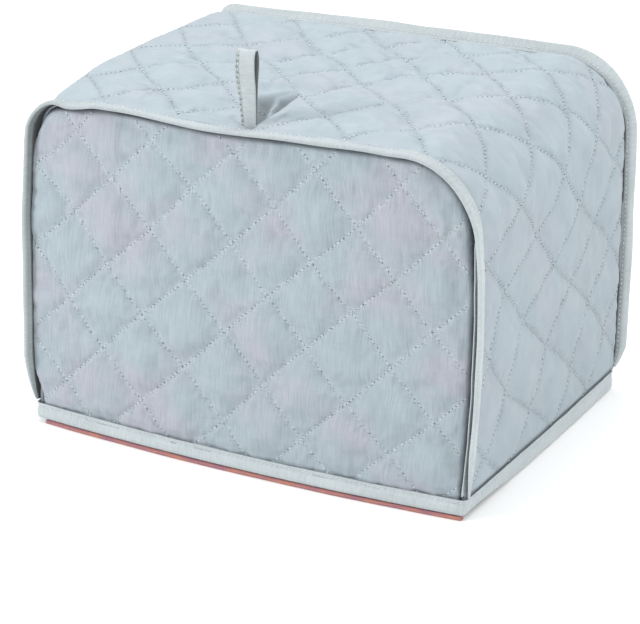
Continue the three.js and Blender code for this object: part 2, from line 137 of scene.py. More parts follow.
# Painted shade of the front binding, at distances round the arch: its inner side, the whole tape, and how
# wide the dark line of painted shade at its foot is
FRONT_INNER_SHADE = (
    (-320, 0.25), (-230, 0.38), (-160, 0.6), (-130, 0.65), (-100, 0.3), (150, 0.3), (200, 0.5),
)
FRONT_PLAIN_SHADE = ((-320, 0.12), (-130, 0.25), (-100, 0.15), (130, 0.15), (170, 0.0))
FRONT_LINE_WIDTH = ((-150, 0.62), (-110, 0.36))

# Painted shade of the back binding: its inner side, the dark line at its foot, and the whole tape
BACK_INNER_SHADE = ((120, 0.0), (150, 0.35), (200, 0.5), (324, 0.6))
BACK_LINE_SHADE = ((110, 0.0), (150, 0.95))
BACK_PLAIN_SHADE = ((110, 0.20), (150, 0.0))

# Hanging loop: height above its foot, half its depth there
LOOP_OUTLINE = (
    (-4, 1.0), (0, 1.1), (10, 1.1), (18, 1.2), (23, 1.5), (27, 2.1), (31, 2.6), (35, 2.7), (39.2, 2.3),
    (41.6, 1.4),
)
LOOP_TIP = 42.6

# Foot of the panels and of the gusset inside the hem, and how far the gusset runs on behind its seams
CLOTH_FOOT = 5.0
SEAM_HIDDEN = 2.0

# Share of the padded crowns and of the simulated heights in the quilting: panels, gusset
PANEL_SHARES = (0.6, 0.75)
GUSSET_SHARES = (0.5, 0.7)

# Corner radius of the hem at the front and the back, and its step round the foot
HEM_CORNER_FRONT = 3.0
HEM_CORNER_BACK = 4.0
HEM_STEP = 2.0

# Ends of the facing at the left and the right, and height of the loop's foot over the flat top
FACING_ENDS = (-133.0, 138.0)
LOOP_FOOT = 1.0

# Pucker beside the loop: corners of the hollow on the top cloth, and the crease inside it
PUCKER_HOLLOW = ((7.0, -103.5), (4.0, -76), (5.0, -42), (-9, -37), (-24, -55), (-2, -104))
PUCKER_CREASE = ((-5, -69), (-10, -56), (-11, -48), (-7, -42), (3, -40))

# How far the stitches stand off the cloth and the tape, and off the loop
STITCH_LIFT = 0.1
LOOP_STITCH_LIFT = 0.15

# Shares of the pitch and the thread in one stitch and one needle hole: start, length, width, height
STITCH_SHARES = (0.0, 0.70, 1.0, 0.8)
HOLE_SHARES = (0.5, 0.30, 1.1, 0.5)

# Turn of the ribs on the bias tape, and the darkest grain of the facing's weave
TAPE_BIAS = 0.7
FACING_GRAIN = (0.20, 0.09, 0.08)

# Camera at the photo's angle, its focal length in pixels of a 640 pixel wide frame
CAMERA_AZIMUTH = math.radians(28.7)
CAMERA_ELEVATION = math.radians(21.7)
CAMERA_DISTANCE = 1.562
CAMERA_TARGET = Vector((-0.00955, 0.00075, 0.0574))
SENSOR_WIDTH = 36.0
FOCAL_PIXELS = 2600
FRAME_WIDTH = 640

# Studio: light of the surroundings, and name, place, side length and power of each area light
WORLD_STRENGTH = 0.72
LIGHT_TARGET = Vector((0, 0, 0.1))
LIGHTS = (
    ("key_light", (-1.15, -1.2, 1.05), 0.5, 22.0),
    ("side_light", (1.5, -0.3, 0.9), 0.7, 10.0),
    ("top_light", (0.1, 0.3, 1.6), 1.2, 14.0),
)
FLOOR_REACH = 3.0


def metres(name, text, value):
    return bpy.props.FloatProperty(name=name, description=text, default=value, min=0.0, unit="LENGTH",
                                   precision=4)


def colour(name, text, value):
    return bpy.props.FloatVectorProperty(name=name, description=text, default=value, size=3, min=0.0,
                                         max=1.0, subtype="COLOR")


class CoverSizes(bpy.types.PropertyGroup):
    """Sizes of the cover, measured to the flat cloth between the quilting crowns."""

    width: metres("Width", "Outer width of the arch", 0.278)
    depth: metres("Depth", "Distance between the two seams", 0.205)
    height: metres("Height", "Height of the flat top cloth", 0.203)
    cloth: metres("Cloth", "Thickness of the quilted cloth at its stitch lines", 0.003)
    left_radius: metres("Left Shoulder", "Radius of the tight left shoulder", 0.008)
    left_radius_front: metres("Left Shoulder Front", "Radius of the left shoulder at the front seam", 0.012)
    right_radius: metres("Right Shoulder", "Radius of the right shoulder", 0.041)
    quilt_rise: metres("Quilt Rise", "Height of the quilting crowns", 0.0027)
    front_inset: metres("Front Inset", "Inset of the front panel inside the arch", 0.0040)
    left_fill: metres("Left Fill", "How far the front panel fills out over its left seam", 0.0064)
    right_fill: metres("Right Fill", "How far the front panel fills out at its right seam", 0.0014)
    panel_corner: metres("Panel Corner", "Corner radius of the front panel at its left shoulder", 0.012)
    front_ahead: metres("Front Ahead", "How far the front panel stands in front of its seam", 0.0035)
    back_inset: metres("Back Inset", "Inset of the back panel inside the arch", 0.0039)
    back_recess: metres("Back Recess", "Set-back of the back panel behind its seam", 0.0025)
    binding_reach: metres("Binding Reach", "How far the seam bindings stand off", 0.0095)
    binding_thick: metres("Binding Thickness", "Thickness of the folded seam bindings", 0.0026)
    tape: metres("Tape", "Thickness of the binding tape itself", 0.0007)
    hem_height: metres("Hem Height", "Height of the hem binding", 0.0125)
    hem_ahead: metres("Hem Ahead", "How far the front hem stands in front of the seam", 0.005)
    foot_flare: metres("Foot Flare", "Outward flare of the front foot", 0.0025)
    corner_drop: metres("Corner Drop", "How far the left front corner sinks", 0.0048)
    corner_flare: metres("Corner Flare", "Sideways flare of the left front foot", 0.003)
    corner_pull: metres("Corner Pull", "How far the left front corner is drawn in", 0.0065)
    hem_thick: metres("Hem Thickness", "Thickness of the folded hem binding", 0.0055)
    front_lift: metres("Front Lift", "Lift of the hem along the front", 0.0025)
    facing_height: metres("Facing Height", "Height of the facing edge under the front hem", 0.0022)
    facing_depth: metres("Facing Depth", "Depth of the facing edge", 0.004)
    loop_width: metres("Loop Width", "Width of the hanging loop", 0.012)
    loop_ribbon: metres("Loop Ribbon", "Thickness of the loop's ribbon", 0.0011)
    stitch_pitch: metres("Stitch Pitch", "Distance from one stitch to the next", 0.0029)
    thread: metres("Thread", "Thickness of the sewing thread", 0.0008)


class CoverColours(bpy.types.PropertyGroup):
    """Colours of the cloth, the tapes and the thread."""

    cloth: colour("Cloth", "Blue-grey of the quilted cloth", (0.346, 0.406, 0.442))
    cloth_patch: colour("Cloth Patches", "Faint lavender patches in the cloth", (0.380, 0.384, 0.436))
    # The darker tone below gives the cloth's ribs and also its painted shade in seam gaps, hollows and
    # stitch valleys.
    cloth_dark_tone_and_painted_shade: colour("Cloth Ribs", "Darker ribs of the cloth", (0.226, 0.271, 0.305))
    # The paler colour below is a painted highlight on the raised puckers beside the stitches of the end
    # panels.
    stitch_painted_highlight: colour("Cloth Puckers", "Paler cloth raised beside the stitches", (0.440, 0.492, 0.525))
    tape: colour("Tape", "Grey-green of the bindings", (0.470, 0.520, 0.535))
    # The darker rib tone of the tapes below is also the colour of their painted shade.
    tape_dark_tone_and_painted_shade: colour("Tape Ribs", "Darker ribs of the bindings", (0.345, 0.388, 0.402))
    facing: colour("Facing", "Rust rose of the facing", (0.46, 0.20, 0.15))
    facing_patch: colour("Facing Patches", "Cooler rose of the facing", (0.33, 0.15, 0.19))
    thread: colour("Thread", "Light sewing thread", (0.56, 0.62, 0.66))
    needle_hole: colour("Needle Holes", "Shaded needle holes between the stitches", (0.12, 0.14, 0.16))
    floor: colour("Floor", "Pale studio floor", (0.93, 0.93, 0.93))


# Curves and noise


def smooth(value):
    t = np.clip(value, 0.0, 1.0)
    return t * t * (3.0 - 2.0 * t)


def bell(value, width):
    """Bell curve that is 1 where the value is 0."""
    return np.exp(-((value / width) ** 2))


def from_table(places, table, column=1):
    """Values between the rows of a table, whose first column holds the places."""
    rows = np.array(table, float)
    return np.interp(places, rows[:, 0], rows[:, column])


def unit(vectors):
    return vectors / np.maximum(np.linalg.norm(vectors, axis=1), 1e-12)[:, None]


def soft_noise(x, y, seed):
    """Smooth noise from -1 to 1 on a unit grid."""
    rng = np.random.default_rng(seed)
    table = rng.uniform(-1.0, 1.0, (64, 64))
    x = np.asarray(x, float)
    y = np.broadcast_to(np.asarray(y, float), x.shape)
    i = np.floor(x).astype(int)
    j = np.floor(y).astype(int)
    u = smooth(x - i)
    v = smooth(y - j)
    low = table[i % 64, j % 64] * (1 - u) + table[(i + 1) % 64, j % 64] * u
    high = table[i % 64, (j + 1) % 64] * (1 - u) + table[(i + 1) % 64, (j + 1) % 64] * u
    return low * (1 - v) + high * v


# Settled shape, stitch lattice and cut cloth


class CoverShape:
    """The settled shape of the cover, in millimetres."""

    def __init__(self, sizes):
        for name in sizes.bl_rna.properties.keys():
            if name not in ("rna_type", "name"):
                setattr(self, name, getattr(sizes, name) / MM)
        self.half_width = self.width / 2
        self.half_depth = self.depth / 2
        self.left_length = self.half_length(self.left_radius)
        self.right_length = self.half_length(self.right_radius)

    def half_length(self, radius):
        return self.half_width - radius + math.pi * radius / 2 + self.height - radius

    def radius(self, side, y):
        opening = 1 - smooth((y + self.half_depth) / 60.0)
        left = self.left_radius + (self.left_radius_front - self.left_radius) * opening
        return np.where(side < 0, left, self.right_radius)

    def arch(self, s, y, rho):
        """Point x, z at distance s round the arch, moved outwards by rho."""
        s, y, rho = np.broadcast_arrays(np.asarray(s, float), y, rho)
        side = np.where(s < 0, -1.0, 1.0)
        radius = self.radius(side, y)
        nominal = np.where(side < 0, self.left_length, self.right_length)
        along = np.abs(s) * self.half_length(radius) / nominal
        flat = self.half_width - radius
        angle = np.clip((along - flat) / radius, 0, math.pi / 2)
        down = np.maximum(0, along - flat - math.pi * radius / 2)
        x = np.minimum(along, flat) + (radius + rho) * np.sin(angle)
        z = self.height - radius - down + (radius + rho) * np.cos(angle)
        return side * x, z

    def settle(self, x, y, z):
        """Leans, bulges and sags the sewn shape as the soft cover stands. The floor stays flat."""
        u = np.clip(x / self.half_width, -1.05, 1.05)
        v = np.clip(y / self.half_depth, -1.1, 1.1)
        w = np.clip(z / self.height, 0, 1.25)
        low = np.minimum(w, 1)
        front = ((1 - v) / 2) ** 2
        back = ((1 + v) / 2) ** 2
        middle = np.maximum(0, 1 - u * u)
        inner = np.maximum(0, 1 - v * v)
        bulge = inner + SIDE_BULGE * (1 - 0.55 * v) * np.sin(math.pi * low)
        lean = FRONT_LEAN * low - (5.5 * (1 - w) + 2 * w) * middle * 1.15
        flare = front * (1 - low) ** 3.5
        sag = TOP_SAG * smooth((x + 20) / 100) - TOP_DIP * bell(x + 20, 45)
        crown = TOP_CROWN * middle * inner * w ** 4 + 1.3 * u * back * w * w
        corner = front ** 2 * smooth((-x - 92) / 34)
        drop = self.corner_drop * corner * smooth((z - 120) / 60)
        pull = self.corner_pull * corner * smooth((z - 170) / 45)
        return np.stack([
            x + u ** 3 * bulge - self.corner_flare * flare * np.maximum(0, -u) + pull + CENTRE_SHIFT[0],
            y + lean * front - self.foot_flare * flare + 2.5 * middle * back + CENTRE_SHIFT[1],
            z + sag * front * w * w + crown + CLOTH_LIFT * smooth(z / 80) - drop,
        ], axis=-1)


class Quilt:
    """Stitch lattice of one cloth: its lines run where column + row or column - row is whole."""

    def __init__(self, crossings):
        rows = np.array(crossings, float)
        self.places = rows[:, :2]
        ones = np.ones((len(rows), 1))
        self.spread = np.linalg.lstsq(np.hstack([ones, self.places]), rows[:, 2:], rcond=None)[0]
        rest = rows[:, 2:] - np.hstack([ones, self.places]) @ self.spread
        hold = self.nearness(self.places) + WARP_SOFTNESS * np.eye(len(rows))
        self.pull = np.linalg.solve(hold, rest)
        column, row = self.spread[1], self.spread[2]
        self.line_gap = abs(column[0] * row[1] - column[1] * row[0]) / np.hypot(*(column + row))
        self.edge = np.hypot(*(column + row)) / 2

    def nearness(self, at):
        gap = at[:, None, :] - self.places[None]
        return np.exp(-(gap ** 2).sum(2) / WARP_REACH ** 2)

    def flat(self, at):
        ones = np.ones((len(at), 1))
        return np.hstack([ones, at]) @ self.spread + self.nearness(at) @ self.pull

    def columns_and_rows(self, corners):
        """Range of diamonds that covers the given flat corners."""
        found = np.linalg.solve(self.spread[1:].T, (np.array(corners, float) - self.spread[0]).T).T
        return found.min(0) - 0.8, found.max(0) + 0.8


class CutCloth:
    """A cloth whose grid follows its stitch lines, trimmed to its outline.

    at holds the diamond column and row of each point, flat its place on the flat cloth, grid its cell,
    edge its distance inside the outline. lines are the stitch lines as lists of point indices.
    """

    def __init__(self, quilt, corners, outline, cells=CELLS_PER_HALF):
        self.quilt = quilt
        fine = 2 * cells
        low, high = quilt.columns_and_rows(corners)
        i0, j0 = np.floor(low * fine).astype(int)
        i1, j1 = np.ceil(high * fine).astype(int)
        i, j = np.meshgrid(np.arange(i0, i1 + 1), np.arange(j0, j1 + 1), indexing="ij")
        at = np.stack([i, j], axis=-1).reshape(-1, 2) / fine
        flat = quilt.flat(at)
        inside, pinned = outline(flat)
        cell = quilt.edge / fine
        loose = inside >= SNAP_SHARE * cell
        flat = np.where(loose[:, None], flat, pinned)
        shape = i.shape
        index = np.arange(i.size).reshape(shape)
        cells = [index[:-1, :-1], index[1:, :-1], index[1:, 1:], index[:-1, 1:]]
        kept = np.any([loose[corner] for corner in cells], axis=0)
        a, b, c, d = (corner[kept] for corner in cells)
        ci, cj = i[:-1, :-1][kept], j[:-1, :-1][kept]
        anti = (ci + cj + 1) % fine == 0
        main = (ci - cj) % fine == 0
        anti |= ~main & ((ci + cj) % 2 == 0)
        first = np.where(anti[:, None], np.stack([a, b, d], 1), np.stack([a, b, c], 1))
        second = np.where(anti[:, None], np.stack([b, c, d], 1), np.stack([a, c, d], 1))
        faces = np.vstack([first, second])
        used = np.unique(faces)
        new = np.full(i.size, -1)
        new[used] = np.arange(len(used))
        self.faces = new[faces]
        self.at = at[used]
        self.flat = flat[used]
        self.grid = np.stack([i.ravel()[used], j.ravel()[used]], axis=1)
        self.loose = loose[used]
        self.edge = np.where(self.loose, inside[used], 0.0)
        self.lines = self.stitch_lines(fine)

    def stitch_lines(self, fine):
        """Points of each stitch line in order, left out near the outline."""
        lines = []
        gi, gj = self.grid[:, 0], self.grid[:, 1]
        for sign in (1, -1):
            number = gi + sign * gj
            on_line = (number % fine == 0) & (self.edge > STITCH_MARGIN)
            for value in np.unique(number[on_line]):
                members = np.nonzero(on_line & (number == value))[0]
                members = members[np.argsort(gi[members])]
                for run in np.split(members, np.nonzero(np.diff(gi[members]) > 1)[0] + 1):
                    if len(run) > SHORTEST_LINE:
                        lines.append(run)
        return lines

    def border(self):
        """Directed edges of the outline."""
        f = self.faces
        pairs = np.vstack([f[:, [0, 1]], f[:, [1, 2]], f[:, [2, 0]]])
        key = pairs[:, 0].astype(np.int64) * len(self.at) + pairs[:, 1]
        back = pairs[:, 1].astype(np.int64) * len(self.at) + pairs[:, 0]
        return pairs[~np.isin(key, back)]

    def distances(self):
        """Distance to the nearest stitch line of each family and the place along it."""
        rising = self.at[:, 0] + self.at[:, 1]
        falling = self.at[:, 0] - self.at[:, 1]
        gap_rising = np.abs((rising + 0.5) % 1 - 0.5) * self.quilt.line_gap
        gap_falling = np.abs((falling + 0.5) % 1 - 0.5) * self.quilt.line_gap
        return rising, falling, gap_rising, gap_falling

    def crowns(self, rise, seed):
        """Height of the padded diamonds, each a little different, with puckers along the stitching."""
        rising, falling, gap_rising, gap_falling = self.distances()
        edge = self.quilt.edge
        full = self.quilt.line_gap / 2
        tight = (1 - np.exp(-gap_rising / 1.7)) * (1 - np.exp(-gap_falling / 1.7))
        dome = np.sin(math.pi / 2 * gap_rising / full) * np.sin(math.pi / 2 * gap_falling / full)
        diamond = np.floor(rising) * 17 + np.floor(falling) * 5
        rng = np.random.default_rng(seed)
        plump = rng.uniform(0.78, 1.2, 997)[np.mod(diamond, 997).astype(int)]
        height = rise * (0.36 * tight + 0.64 * plump * np.maximum(dome, 0) ** 0.75)
        for gap, along, line in ((gap_rising, falling, rising), (gap_falling, rising, falling)):
            reach = np.maximum(0, gap / 3.0) * np.exp(1 - gap / 3.0)
            number = np.floor(line) * 3.7
            height += 0.42 * reach * soft_noise(along * edge * 2 / 5.5, number, seed + 1)
            height += 0.34 * reach * soft_noise(along * edge * 2 / 2.9, number + 9, seed + 2)
        return height * smooth((self.edge - 1) / 14.0)


def draped_heights(fine_cut, corners, outline, place, seed):
    """Heights of the cloth that lies full between its stitch lines, from a short cloth simulation.

    A coarser cut of the same cloth is held along its seams and stitch lines, cut a little wide and
    puffed from inside. It is simulated enlarged, and its heights are read back in millimetres.
    """
    cut = CutCloth(fine_cut.quilt, corners, outline, DRAPE_CELLS)
    along, across = cut.flat[:, 0], cut.flat[:, 1]
    _, _, gap_rising, gap_falling = cut.distances()
    near = np.minimum(gap_rising, gap_falling)
    loose = (near > 0.4) & (cut.edge > 2.5)
    first = 0.35 * soft_noise(along / 13, across / 13, seed)
    first += 0.25 * soft_noise(along / 31, across / 6, seed + 1)
    flat_start = place(cut.flat, np.zeros(len(cut.flat)), cut.edge)
    outwards = unit(place(cut.flat, np.ones(len(cut.flat)), cut.edge) - flat_start)
    start = flat_start + outwards * (first * loose)[:, None]
    faces = cut.faces.tolist()
    normals = surface_normals(start, cut.faces)
    if np.sum(normals * outwards) < 0:
        faces = [face[::-1] for face in faces]
    mesh = bpy.data.meshes.new("drape")
    mesh.from_pydata((start * DRAPE_SCALE).tolist(), [], faces)
    sheet = put("drape", mesh)
    held = sheet.vertex_groups.new(name="held")
    held.add([int(index) for index in np.nonzero(~loose)[0]], 1.0, "REPLACE")
    modifier = sheet.modifiers.new("drape", "CLOTH")
    for key, value in DRAPE_SETTINGS.items():
        setattr(modifier.settings, key, value)
    modifier.settings.effector_weights.gravity = 0.0
    modifier.point_cache.frame_start = 1
    modifier.point_cache.frame_end = DRAPE_FRAMES
    scene = bpy.context.scene
    for number in range(1, DRAPE_FRAMES + 1):
        scene.frame_set(number)
    settled = sheet.evaluated_get(bpy.context.evaluated_depsgraph_get()).to_mesh()
    found = np.zeros(len(settled.vertices) * 3)
    settled.vertices.foreach_get("co", found)
    moved = found.reshape(-1, 3) / DRAPE_SCALE - flat_start
    bpy.data.objects.remove(sheet)
    bpy.data.meshes.remove(mesh)
    scene.frame_set(1)
    height = np.clip((moved * outwards).sum(1), *DRAPE_LIMITS)
    low = cut.grid.min(0)
    table = np.zeros(cut.grid.max(0) - low + 2)
    table[cut.grid[:, 0] - low[0], cut.grid[:, 1] - low[1]] = height
    where = fine_cut.at * 2 * DRAPE_CELLS - low
    where = np.clip(where, 0, np.array(table.shape) - 1.001)
    i, j = np.floor(where).astype(int).T
    u, v = (where - np.floor(where)).T
    near_row = table[i, j] * (1 - u) + table[i + 1, j] * u
    far_row = table[i, j + 1] * (1 - u) + table[i + 1, j + 1] * u
    return near_row * (1 - v) + far_row * v


# Sewn pieces


def lining_of(cut):
    """Coarser points for the inner face: the group number of each point and each group's place."""
    group = (cut.grid + LINING_STEP // 2) // LINING_STEP
    key = group[:, 0].astype(np.int64) * 100000 + group[:, 1]
    _, number = np.unique(key, return_inverse=True)
    on_edge = ~cut.loose
    weight = np.where(on_edge, 1.0, 1e-6)
    total = np.bincount(number, weight)
    flat = np.stack([np.bincount(number, weight * cut.flat[:, k]) / total for k in (0, 1)], axis=1)
    return number, flat


def fill_mesh(name, points, faces, uvs, attributes=()):
    """A mesh in metres with its own cloth coordinates, faces turned outwards."""
    points = np.asarray(points, float) * MM
    mesh = bpy.data.meshes.new(name)
    mesh.from_pydata(points.tolist(), [], [list(map(int, face)) for face in faces])
    mesh.update()
    mesh.calc_loop_triangles()
    corners = np.zeros(len(mesh.loop_triangles) * 3, int)
    mesh.loop_triangles.foreach_get("vertices", corners)
    a, b, c = (points[corners[k::3]] for k in range(3))
    if np.einsum("ij,ij->i", a, np.cross(b, c)).sum() < 0:
        mesh.flip_normals()
    layer = mesh.uv_layers.new(name="cloth")
    loops = np.zeros(len(mesh.loops), int)
    mesh.loops.foreach_get("vertex_index", loops)
    layer.data.foreach_set("uv", (np.asarray(uvs, float)[loops] * MM).ravel())
    for title, values in attributes:
        attribute = mesh.attributes.new(title, "FLOAT", "POINT")
        attribute.data.foreach_set("value", np.asarray(values, np.float32))
    mesh.polygons.foreach_set("use_smooth", [True] * len(mesh.polygons))
    mesh.update()
    return put(name, mesh)


def sewn_cloth(name, cut, place, rise, thickness, shade):
    """Closed cloth from a cut: outer face at height rise, lining one thickness below its hollows.

    place maps flat points and heights to the settled cover. Gives the piece and its outer points.
    """
    outer = place(cut.flat, rise, cut.edge)
    number, inner_flat = lining_of(cut)
    hollow = np.bincount(number, np.minimum(rise, 0)) / np.bincount(number)
    deep = hollow - thickness
    inner_edge = np.bincount(number, cut.edge) / np.bincount(number)
    inner_edge = np.where(np.bincount(number, ~cut.loose) > 0, 0.0, inner_edge)
    inner = place(inner_flat, deep, inner_edge)
    count = len(outer)
    lining = number[cut.faces] + count
    proper = np.all(lining != np.roll(lining, 1, axis=1), axis=1)
    walls = []
    for a, b in cut.border():
        a2, b2 = number[a] + count, number[b] + count
        walls.append([b, a, a2, b2] if a2 != b2 else [b, a, a2])
    faces = [*cut.faces.tolist(), *lining[proper][:, ::-1].tolist(), *walls]
    points = np.vstack([outer, inner])
    uvs = np.vstack([cut.flat, inner_flat])
    _, _, gap_rising, gap_falling = cut.distances()
    near = np.minimum(gap_rising, gap_falling)
    # valley marks the cloth along the stitch lines, where the material paints its stitch-line colour; shade
    # is painted shade for the outer face.
    valley = bell(near, 1.9) * smooth((cut.edge - 1) / 3)
    valley = np.concatenate([valley, np.zeros(len(inner))])
    shade = np.concatenate([np.clip(shade, 0, 1), np.zeros(len(inner))])
    cloth = fill_mesh(name, points, faces, uvs, [("valley", valley), ("shade", shade)])
    return cloth, outer


def swept_tape(name, outer, inner, along, around, closed, shade=None):
    """Folded tape from two grids of points: its outer face and its inner face, joined at the edges.

    shade is a pair of painted shade values that darkens the outer and the inner face.
    """
    rows, columns = outer.shape[:2]
    points = np.vstack([outer.reshape(-1, 3), inner.reshape(-1, 3)])
    shift = rows * columns
    faces = []
    spans = rows if closed else rows - 1
    for i in range(spans):
        n = (i + 1) % rows
        for k in range(columns - 1):
            a, b = i * columns + k, n * columns + k
            faces.append([a, b, b + 1, a + 1])
            faces.append([a + shift, a + 1 + shift, b + 1 + shift, b + shift])
        for k, turn in ((0, True), (columns - 1, False)):
            a, b = i * columns + k, n * columns + k
            wall = [a, b, b + shift, a + shift]
            faces.append(wall[::-1] if turn else wall)
    if not closed:
        for i, turn in ((0, False), (rows - 1, True)):
            for k in range(columns - 1):
                a = i * columns + k
                wall = [a, a + 1, a + 1 + shift, a + shift]
                faces.append(wall[::-1] if turn else wall)
    u, v = np.meshgrid(along, around, indexing="ij")
    uvs = np.stack([u, v], axis=-1).reshape(-1, 2)
    if shade is None:
        shade = (np.zeros(shift), np.zeros(shift))
    shades = np.concatenate([np.ravel(part) for part in shade])
    return fill_mesh(name, points, faces, np.vstack([uvs, uvs]), [("shade", shades)])


def surface_normals(points, faces):
    """Mean normals at the points of an open surface."""
    a, b, c = (points[faces[:, k]] for k in range(3))
    flat = np.cross(b - a, c - a)
    normals = np.zeros_like(points)
    for k in range(3):
        np.add.at(normals, faces[:, k], flat)
    return unit(normals)


def dress(piece, nodes, material):
    """Gives a finished piece its material and its body, and hides the parts of the model that it stands
    for.
    """
    piece.data.materials.clear()
    piece.data.materials.append(material)
    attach(piece, "root")
    if nodes:
        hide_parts(*nodes)


def put(name, data):
    """A thing of the scene with the given data."""
    thing = bpy.data.objects.new(name, data)
    bpy.context.scene.collection.objects.link(thing)
    return thing


def add_node(tree, kind, links=(), values=(), **settings):
    """A node with its settings, its input values and the outputs that feed it."""
    node = tree.nodes.new(kind)
    for key, value in settings.items():
        setattr(node, key, value)
    for socket, value in values:
        node.inputs[socket].default_value = value
    for socket, source in links:
        tree.links.new(source, node.inputs[socket])
    return node


# Materials


class ShaderTree:
    """Short way to add and join the nodes of one material."""

    def __init__(self, name):
        self.material = bpy.data.materials.new(name)
        self.material.use_nodes = True
        self.tree = self.material.node_tree
        self.shader = self.tree.nodes["Principled BSDF"]

    def add(self, kind, links=(), values=(), **settings):
        return add_node(self.tree, kind, links, values, **settings)

    def noise(self, scale, detail, roughness=0.5, turn=0.0):
        """Noise on the flat cloth, stretched by scale and turned."""
        uv = self.add("ShaderNodeUVMap", uv_map="cloth")
        mapping = self.add("ShaderNodeMapping", [("Vector", uv.outputs["UV"])],
                           [("Rotation", (0, 0, turn)), ("Scale", scale)])
        node = self.add("ShaderNodeTexNoise", [("Vector", mapping.outputs["Vector"])],
                        [("Scale", 1.0), ("Detail", detail), ("Roughness", roughness)])
        return node.outputs["Fac"]

    def speckle(self, scale, detail):
        """Even noise in space."""
        where = self.add("ShaderNodeTexCoord")
        node = self.add("ShaderNodeTexNoise", [("Vector", where.outputs["Object"])],
                        [("Scale", scale), ("Detail", detail)])
        return node.outputs["Fac"]

    def ramp(self, source, low, high, to_low=0.0, to_high=1.0):
        node = self.add("ShaderNodeMapRange", [("Value", source)],
                        [("From Min", low), ("From Max", high), ("To Min", to_low), ("To Max", to_high)])
        return node.outputs["Result"]

    def mix(self, factor, first, second):
        node = self.add("ShaderNodeMix", data_type="RGBA")
        for index, source in ((0, factor), (6, first), (7, second)):
            if isinstance(source, (tuple, list, float)):
                node.inputs[index].default_value = source
            else:
                self.tree.links.new(source, node.inputs[index])
        return node.outputs[2]

    def sum(self, first, second, share):
        node = self.add("ShaderNodeMath", [(0, second), (2, first)], [(1, share)], operation="MULTIPLY_ADD")
        return node.outputs["Value"]

    def times(self, first, second):
        return self.add("ShaderNodeMath", [(0, first), (1, second)], operation="MULTIPLY").outputs["Value"]

    def attribute(self, title):
        node = self.add("ShaderNodeAttribute", attribute_name=title, attribute_type="GEOMETRY")
        return node.outputs["Fac"]

    def bump(self, height, distance, strength):
        node = self.add("ShaderNodeBump", [("Height", height)],
                        [("Distance", distance), ("Strength", strength)])
        self.tree.links.new(node.outputs["Normal"], self.shader.inputs["Normal"])

    def finish(self, colour_output, roughness, sheen):
        self.tree.links.new(colour_output, self.shader.inputs["Base Color"])
        values = (("Roughness", roughness), ("Sheen Weight", sheen), ("Sheen Roughness", 0.5),
                  ("Specular IOR Level", 0.25))
        for socket, value in values:
            self.shader.inputs[socket].default_value = value
        return self.material


def rgba(value, share=1.0):
    return (share * value[0], share * value[1], share * value[2], 1.0)


def quilted_cloth_material(name, colours, ribs, slubs, ribbed, seam, patches):
    """Woven cloth with fine ribs, faint slubs and lavender patches, with painted shade in seams and
    hollows.

    seam is the colour painted along the stitch lines, a painted highlight on the end panels and painted
    shade on the gusset; patches is the strength of the lavender.
    """
    tree = ShaderTree(name)
    rib = tree.noise(ribs, 3.0, 0.6)
    slub = tree.noise(slubs, 2.0, 0.5)
    patch = tree.ramp(tree.noise((15, 19, 1), 3.0), 0.47, 0.62, 0.0, patches)
    base = tree.mix(patch, rgba(colours.cloth), rgba(colours.cloth_patch))
    grain = tree.ramp(tree.sum(rib, slub, 0.15), 0.44, 0.68, 0.8 * ribbed, 0.0)
    base = tree.mix(grain, base, rgba(colours.cloth_dark_tone_and_painted_shade))
    cloud = tree.ramp(tree.noise((60, 75, 1), 4.0), 0.35, 0.65, 0.22, 0.0)
    base = tree.mix(cloud, base, rgba(colours.cloth_dark_tone_and_painted_shade))
    # Painted along the stitch lines: the seam colour (a painted highlight on the end panels, painted shade
    # on the gusset), and dark specks.
    valley = tree.attribute("valley")
    broken = tree.ramp(tree.noise((330, 330, 1), 2.0), 0.40, 0.62, 0.05, 0.55)
    base = tree.mix(tree.times(valley, broken), base, rgba(seam))
    specks = tree.ramp(tree.noise((900, 900, 1), 1.0), 0.56, 0.68, 0.0, 0.75)
    base = tree.mix(tree.times(valley, specks), base, rgba(colours.cloth_dark_tone_and_painted_shade, 0.6))
    # Painted shade from the shade attribute: gaps at the seams, the line above the hem and the hollow of
    # the pucker.
    base = tree.mix(tree.attribute("shade"), base, rgba(colours.cloth_dark_tone_and_painted_shade, 0.12))
    weave = tree.noise((1500, 1500, 1), 1.0)
    relief = tree.sum(tree.sum(rib, slub, 0.15), weave, 0.5)
    tree.bump(relief, 0.0004, 0.4 + 0.6 * ribbed)
    return tree.finish(base, 0.92, 0.12)


def tape_material(name, colours, turn):
    """Finely ribbed bias tape, with painted shade from its shade attribute, as on the side that faces into
    a seam.
    """
    tree = ShaderTree(name)
    rib = tree.noise((900, 150, 1), 2.0, turn=turn)
    patch = tree.noise((30, 90, 1), 3.0)
    grain = tree.ramp(tree.sum(rib, patch, 0.8), 0.66, 1.1, 0.6, 0.0)
    base = tree.mix(grain, rgba(colours.tape), rgba(colours.tape_dark_tone_and_painted_shade))
    # Painted shade from the shade attribute: gaps beside the seams, inner faces and the inside of the loop.
    base = tree.mix(tree.attribute("shade"), base, rgba(colours.tape_dark_tone_and_painted_shade, 0.10))
    weave = tree.noise((1700, 1700, 1), 1.0)
    tree.bump(tree.sum(rib, weave, 0.6), 0.0004, 0.6)
    return tree.finish(base, 0.88, 0.15)


